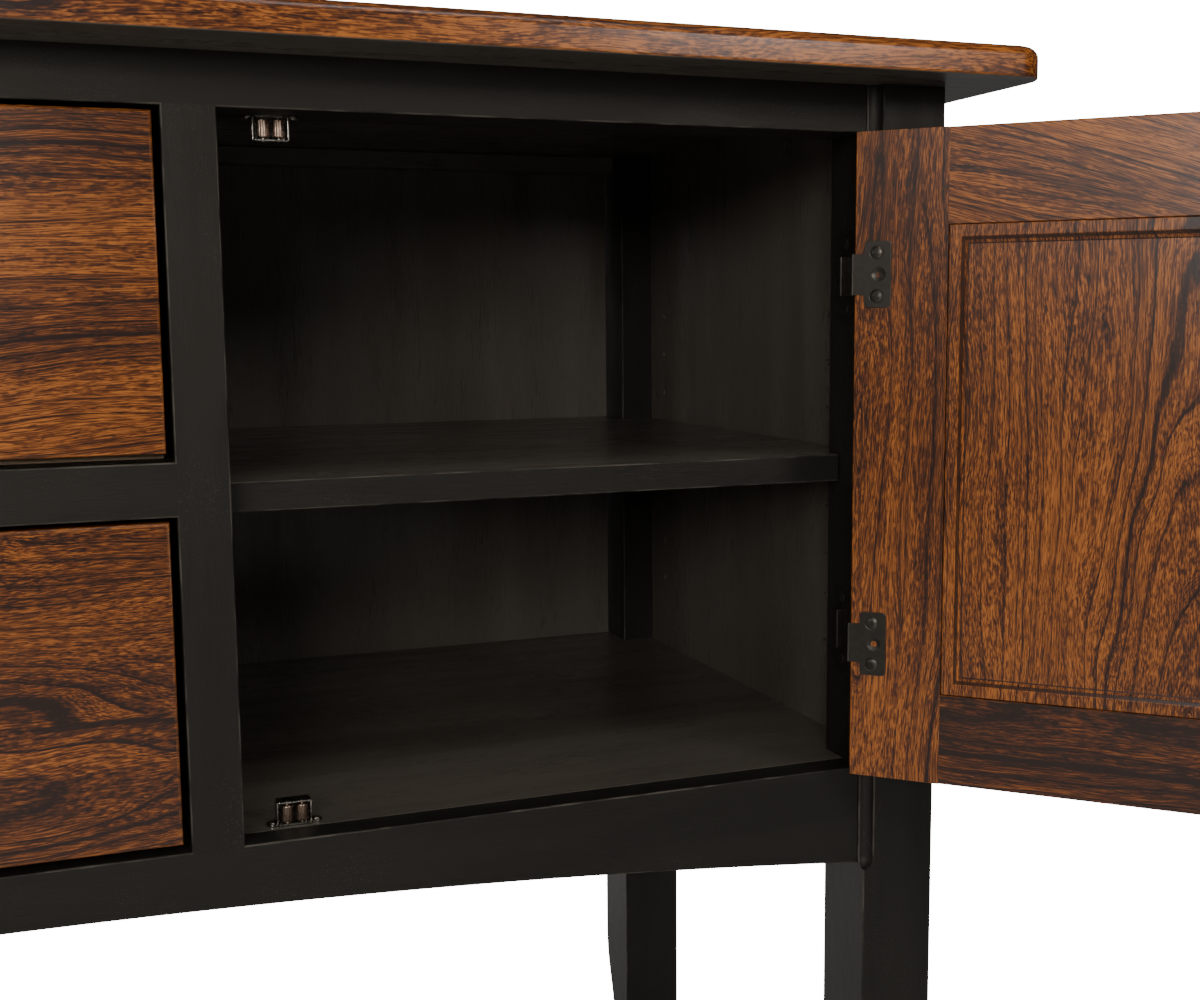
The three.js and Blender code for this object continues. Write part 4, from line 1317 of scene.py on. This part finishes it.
# ---- Catches ----
class SIDEBOARD_OT_catches(bpy.types.Operator):
    """Makes the double-roller catches; the right ones' rollers turn on their own"""

    bl_idname = "sideboard.catches"
    bl_label = "Catches"

    def execute(self, context):
        for level in ("top", "bottom"):
            low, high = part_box(f"catch_left_{level}")
            roller_low, roller_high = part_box(f"catch_right_{level}_roller_left")
            for side, mirror in SIDES.items():
                piece(f"catch_{side}_{level}_housing", self.housing(low, high, level),
                      "nickel", CASE, f"catch_{side}_{level}", turn=mirror)
            middle = (low.x + high.x) / 2
            spread = (roller_high.x - roller_low.x) / 2
            apart = 0.0042
            for step, where in ((-1, "left"), (1, "right")):
                x = middle + step * apart
                box_low = Vector((x - spread, roller_low.y, roller_low.z))
                box_high = Vector((x + spread, roller_high.y, roller_high.z))
                piece(f"catch_left_{level}_wheel_{where}", self.wheel(box_low, box_high),
                      "roller", CASE, sharp=25)
                node = f"catch_right_{level}_roller_{where}"
                piece(f"catch_right_{level}_wheel_{where}", self.wheel(*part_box(node)),
                      "roller", f"roller_right_{level}_{where}", node, sharp=25)
        return {"FINISHED"}

    def wheel(self, low, high):
        """A fluted roller with an eased rim and a hub at each end."""
        radius = (high.x - low.x) / 2
        tall = high.z - low.z
        flutes = 22
        rings = []
        levels = [
            (0.0, 0.30), (0.0001, 0.62), (0.0004, 0.90), (0.0009, 0.985),
            (tall - 0.0009, 0.985), (tall - 0.0004, 0.90), (tall - 0.0001, 0.62), (tall, 0.30)]
        for height, share in levels:
            ring = []
            for k in range(flutes * 4):
                angle = 2 * pi * k / (flutes * 4)
                dip = 0.04 * (0.5 - 0.5 * cos(flutes * angle)) if share > 0.95 else 0.0
                r = radius * (share - dip)
                ring.append(Vector((r * cos(angle), r * sin(angle), height)))
            rings.append(ring)
        middle = (low + high) / 2
        return moved(loft(rings), Matrix.Translation((middle.x, middle.y, low.z)))

    def housing(self, low, high, level):
        """Plate, folded arms and cap round the rollers, with the screws that hold it."""
        up = 1 if level == "bottom" else -1
        base = low.z if up > 0 else high.z
        middle = (low + high) / 2
        wide, deep = (high.x - low.x) / 2, (high.y - low.y) / 2
        tall = high.z - low.z
        sheet = 0.0009
        turn = Matrix.Translation((middle.x, middle.y, base)) @ Matrix.Diagonal((1, 1, up, 1))
        neck = 0.0040
        narrow = 0.0094
        outline = rounded([
            (-wide, -neck, 0.0035), (-narrow, -neck, 0.001), (-narrow, -deep + 0.001, 0.001),
            (narrow, -deep + 0.001, 0.001), (narrow, -neck, 0.001), (wide, -neck, 0.0035),
            (wide, neck, 0.0035), (narrow, neck, 0.001), (narrow, deep, 0.001),
            (-narrow, deep, 0.001), (-narrow, neck, 0.001), (-wide, neck, 0.0035)])
        plate = ease(prism(outline, Z, 0, sheet), 0.00025, segments=2)
        arms = [
            ease(block((side * narrow - 0.0004, -deep + 0.0035, sheet * 0.5),
                       (side * narrow + 0.0004, deep, tall - sheet * 0.5)), 0.0002, segments=2)
            for side in (-1, 1)]
        back = ease(block((-narrow, deep - sheet, sheet * 0.5), (narrow, deep, tall)),
                    0.0003, segments=2)
        cap_outline = rounded([
            (-narrow, -deep + 0.0022, 0.0012), (narrow, -deep + 0.0022, 0.0012),
            (narrow, deep, 0.0006), (-narrow, deep, 0.0006)])
        cap = ease(prism(cap_outline, Z, tall - sheet, tall), 0.00025, segments=2)
        lips = []
        for side in (-1, 1):
            spot = Matrix.Translation((side * 0.0042, -deep + 0.0035, 0))
            lips.append(moved(lathe([
                (0, sheet * 0.5), (0.0008, sheet * 0.5), (0.0008, tall + 0.0001),
                (0.0005, tall + 0.0003), (0, tall + 0.0003)], sides=16), spot))
        heads = [
            copied(screw_head(0.0026, 0.0013),
                   Matrix.Translation((side * 0.0125, 0, sheet)) @ Matrix.Rotation(0.4, 4, "Z"))
            for side in (-1, 1)]
        return moved(joined(plate, *arms, back, cap, *lips, *heads), turn)


# ---- Drawers ----
class SIDEBOARD_OT_drawers(bpy.types.Operator):
    """Makes both drawers: front, dovetailed box, bottom and knob"""

    bl_idname = "sideboard.drawers"
    bl_label = "Drawers"

    def execute(self, context):
        for level, seed in (("upper", 51), ("lower", 63)):
            self.drawer(f"drawer_{level}", seed, context.scene.sideboard_sizes)
        return {"FINISHED"}

    def drawer(self, name, seed, sizes):
        low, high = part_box(f"{name}_front")
        slab = ease(block(low, high), sizes.drawer_arris, lies(Y, low.y), segments=3)
        # the upper front's lighter tone and the lower front's darker tone are painted light and
        # painted shade
        if name == "drawer_upper":
            grained(slab, X, Z, heart=(0.035, 0.02), lean=-0.05, seed=seed, tone=0.05)
        else:
            grained(slab, X, Z, heart=(-0.02, 0.035), lean=-0.04, tilt=0.11, seed=seed, tone=-0.05)
        piece(f"{name}_slab", slab, "elm", name, f"{name}_front")
        self.box(name, sizes, seed)
        low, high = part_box(f"{name}_bottom")
        board = block(low, high)
        piece(f"{name}_base", grained(board, X, Y, heart=(0.05, 0.08), seed=seed + 1),
              "maple", name, f"{name}_bottom")
        low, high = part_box(f"{name}_knob")
        piece(f"{name}_knob_turned", knob_shape(low, high), "bronze", name, f"{name}_knob",
              sharp=50)

    def box(self, name, sizes, seed):
        """Two sides with tails, and a front and back whose pins fill the sockets."""
        low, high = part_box(f"{name}_box")
        thick = sizes.drawer_side
        inside_front = low.y + thick
        tails = round((high.z - low.z) / sizes.tail_spacing)
        pitch = (high.z - low.z) / tails
        slant = 0.0022
        half_pin = 0.0042

        def comb(y_end, y_shoulder):
            """Tail edge of a side, from its bottom to its top, as (y, z) points."""
            points = [(y_shoulder, low.z)]
            for k in range(tails + 1):
                z = low.z + pitch * k
                narrow, wide = half_pin - slant, half_pin + slant
                if k == 0:
                    points += [(y_shoulder, z + wide), (y_end, z + narrow)]
                elif k == tails:
                    points += [(y_end, z - narrow), (y_shoulder, z - wide), (y_shoulder, z)]
                else:
                    points += [(y_end, z - narrow), (y_shoulder, z - wide),
                               (y_shoulder, z + wide), (y_end, z + narrow)]
            return points

        outline = comb(low.y, inside_front) + comb(high.y, high.y - thick)[::-1]
        for x0, x1, where in ((low.x, low.x + thick, "left"), (high.x - thick, high.x, "right")):
            side = ease(prism(outline, X, x0, x1), 0.0006, runs(Y), lies(Z, high.z), segments=2)
            piece(f"{name}_side_{where}", grained(side, Y, Z, heart=(0.03, 0.05), seed=seed + 2),
                  "maple", name, f"{name}_box")
        for y_end, y_shoulder, where in (
                (low.y, inside_front, "inner_front"), (high.y, high.y - thick, "back")):
            y0, y1 = sorted((y_end, y_shoulder))
            parts = [ease(block((low.x + thick, y0, low.z), (high.x - thick, y1, high.z)),
                          0.0006, runs(X), lies(Z, high.z), segments=2)]
            for x0, x1 in ((low.x, low.x + thick), (high.x - thick, high.x)):
                for k in range(tails + 1):
                    z = low.z + pitch * k
                    down = 0 if k == 0 else 1
                    above = 0 if k == tails else 1
                    narrow, wide = half_pin - slant, half_pin + slant
                    pin = [
                        (y_end, z - narrow * down), (y_end, z + narrow * above),
                        (y_shoulder, z + wide * above), (y_shoulder, z - wide * down)]
                    parts.append(prism(pin, X, x0, x1))
            board = joined(*parts)
            piece(f"{name}_{where}", grained(board, X, Z, heart=(0.04, 0.06), seed=seed + 3),
                  "maple", name)


# ---- Stage ----
# name, place, aim, width, height, watts
LAMPS = [
    ("side", (-1.75, -2.0, 1.35), (0.45, 0.0, 0.6), 0.7, 0.8, 4),
    ("left", (-2.7, -0.85, 1.25), (0.45, 0.0, 0.75), 0.9, 0.7, 6),
    ("front", (-0.80, -2.35, 1.18), (0.6, -0.2, 0.7), 0.95, 0.6, 22),
    ("right", (1.5, -2.2, 1.50), (0.5, -0.2, 0.8), 0.7, 0.5, 11),
    ("over", (0.3, -1.2, 2.6), (0.1, -0.1, 0.8), 1.6, 0.7, 13),
    ("behind", (-0.8, 2.6, 0.45), (0.4, 0.2, 0.3), 3.0, 1.4, 80),
]
ROOM_LIGHT = 0.06  # strength of the surroundings as a light
BACKDROP_LIGHT = 20.0  # strength of the surroundings as they are seen
FLOOR_GLOW = 16.0  # what the floor adds where it is seen directly


class SIDEBOARD_OT_stage(bpy.types.Operator):
    """Sets the pale floor, the soft light and the camera"""

    bl_idname = "sideboard.stage"
    bl_label = "Stage"

    def execute(self, context):
        stage = context.scene.sideboard_stage
        self.camera(stage)
        self.floor(stage)
        self.surroundings()
        for name, at, aim, wide, tall, power in LAMPS:
            self.lamp(name, Vector(at), Vector(aim), wide, tall, power)
        return {"FINISHED"}

    def camera(self, stage):
        turn, dip, roll = stage.camera_turn, stage.camera_dip, stage.camera_roll
        ahead = Vector((sin(turn) * cos(dip), cos(turn) * cos(dip), -sin(dip)))
        level = Vector((cos(turn), -sin(turn), 0))
        upward = level.cross(ahead)
        right = cos(roll) * level + sin(roll) * upward
        up = -sin(roll) * level + cos(roll) * upward
        data = bpy.data.cameras.new("camera")
        data.lens = stage.camera_lens
        data.sensor_width = 36
        data.clip_start = 0.02
        camera = bpy.data.objects.new("camera", data)
        bpy.context.scene.collection.objects.link(camera)
        spot = Vector((CASE_MIDDLE + stage.camera_right, FRAME_FACE - stage.camera_ahead,
                       stage.camera_height))
        camera.matrix_world = Matrix.Translation(spot) @ Matrix(
            (right, up, -ahead)).transposed().to_4x4()
        bpy.context.scene.camera = camera

    def floor(self, stage):
        half = stage.floor_size / 2
        bm = loft([[Vector((x, y, z)) for x, y in
                    ((-half, -half), (half, -half), (half, half), (-half, half))]
                   for z in (-0.02, 0.0)])
        sheet = bpy.data.meshes.new("floor")
        bm.to_mesh(sheet)
        bm.free()
        floor = bpy.data.objects.new("floor", sheet)
        bpy.context.scene.collection.objects.link(floor)
        material = bpy.data.materials.new("pale floor")
        material.use_nodes = True
        web = Web(material.node_tree)
        shader = material.node_tree.nodes["Principled BSDF"]
        shader.inputs["Base Color"].default_value = (*stage.floor_colour, 1)
        shader.inputs["Roughness"].default_value = 0.85
        glow = web.node("Emission", {"Color": (1, 1, 1, 1), "Strength": FLOOR_GLOW})
        both = web.node("AddShader", {0: shader.outputs[0], 1: glow.outputs[0]})
        seen = web.node("MixShader", {
            0: web.node("LightPath").outputs["Is Camera Ray"],
            1: shader.outputs[0], 2: both.outputs[0]})
        web.tree.links.new(
            seen.outputs[0], material.node_tree.nodes["Material Output"].inputs["Surface"])
        sheet.materials.append(material)

    def surroundings(self):
        """White behind the object, and dimmer to light it by."""
        world = bpy.data.worlds.new("surroundings")
        world.use_nodes = True
        web = Web(world.node_tree)
        seen = web.node("LightPath").outputs["Is Camera Ray"]
        near = world.node_tree.nodes["Background"]
        near.inputs["Color"].default_value = (1, 1, 1, 1)
        near.inputs["Strength"].default_value = ROOM_LIGHT
        far = web.node("Background", {"Color": (1, 1, 1, 1), "Strength": BACKDROP_LIGHT})
        both = web.node("MixShader", {0: seen, 1: near.outputs[0], 2: far.outputs[0]})
        world.node_tree.links.new(
            both.outputs[0], world.node_tree.nodes["World Output"].inputs["Surface"])
        bpy.context.scene.world = world

    def lamp(self, name, at, aim, wide, tall, power):
        data = bpy.data.lights.new(name, "AREA")
        data.shape = "RECTANGLE"
        data.size, data.size_y = wide, tall
        data.energy = power
        lamp = bpy.data.objects.new(name, data)
        bpy.context.scene.collection.objects.link(lamp)
        lamp.location = at
        lamp.rotation_euler = (aim - at).to_track_quat("-Z", "Y").to_euler()



# ---- Panel ----
class SIDEBOARD_PT_pieces(bpy.types.Panel):
    """Lists the pieces' operators"""

    bl_label = "Sideboard"
    bl_idname = "SIDEBOARD_PT_pieces"
    bl_space_type = "VIEW_3D"
    bl_region_type = "UI"
    bl_category = "Sideboard"

    def draw(self, context):
        for maker in MAKERS:
            self.layout.operator(maker.bl_idname)


GROUPS = {
    "sideboard_sizes": SideboardSizes,
    "sideboard_finishes": SideboardFinishes,
    "sideboard_stage": SideboardStage,
}
MAKERS = (
    SIDEBOARD_OT_top, SIDEBOARD_OT_legs, SIDEBOARD_OT_front_frame, SIDEBOARD_OT_case,
    SIDEBOARD_OT_shelves, SIDEBOARD_OT_doors, SIDEBOARD_OT_hinges, SIDEBOARD_OT_catches,
    SIDEBOARD_OT_drawers, SIDEBOARD_OT_stage,
)
CLASSES = (*GROUPS.values(), *MAKERS, SIDEBOARD_PT_pieces)


def register():
    for kind in CLASSES:
        bpy.utils.register_class(kind)
    for name, kind in GROUPS.items():
        setattr(bpy.types.Scene, name, bpy.props.PointerProperty(type=kind))


def unregister():
    for name in GROUPS:
        delattr(bpy.types.Scene, name)
    for kind in reversed(CLASSES):
        bpy.utils.unregister_class(kind)


def main():
    register()
    for maker in MAKERS:
        area, name = maker.bl_idname.split(".")
        getattr(getattr(bpy.ops, area), name)()


if __name__ == "__main__":
    main()
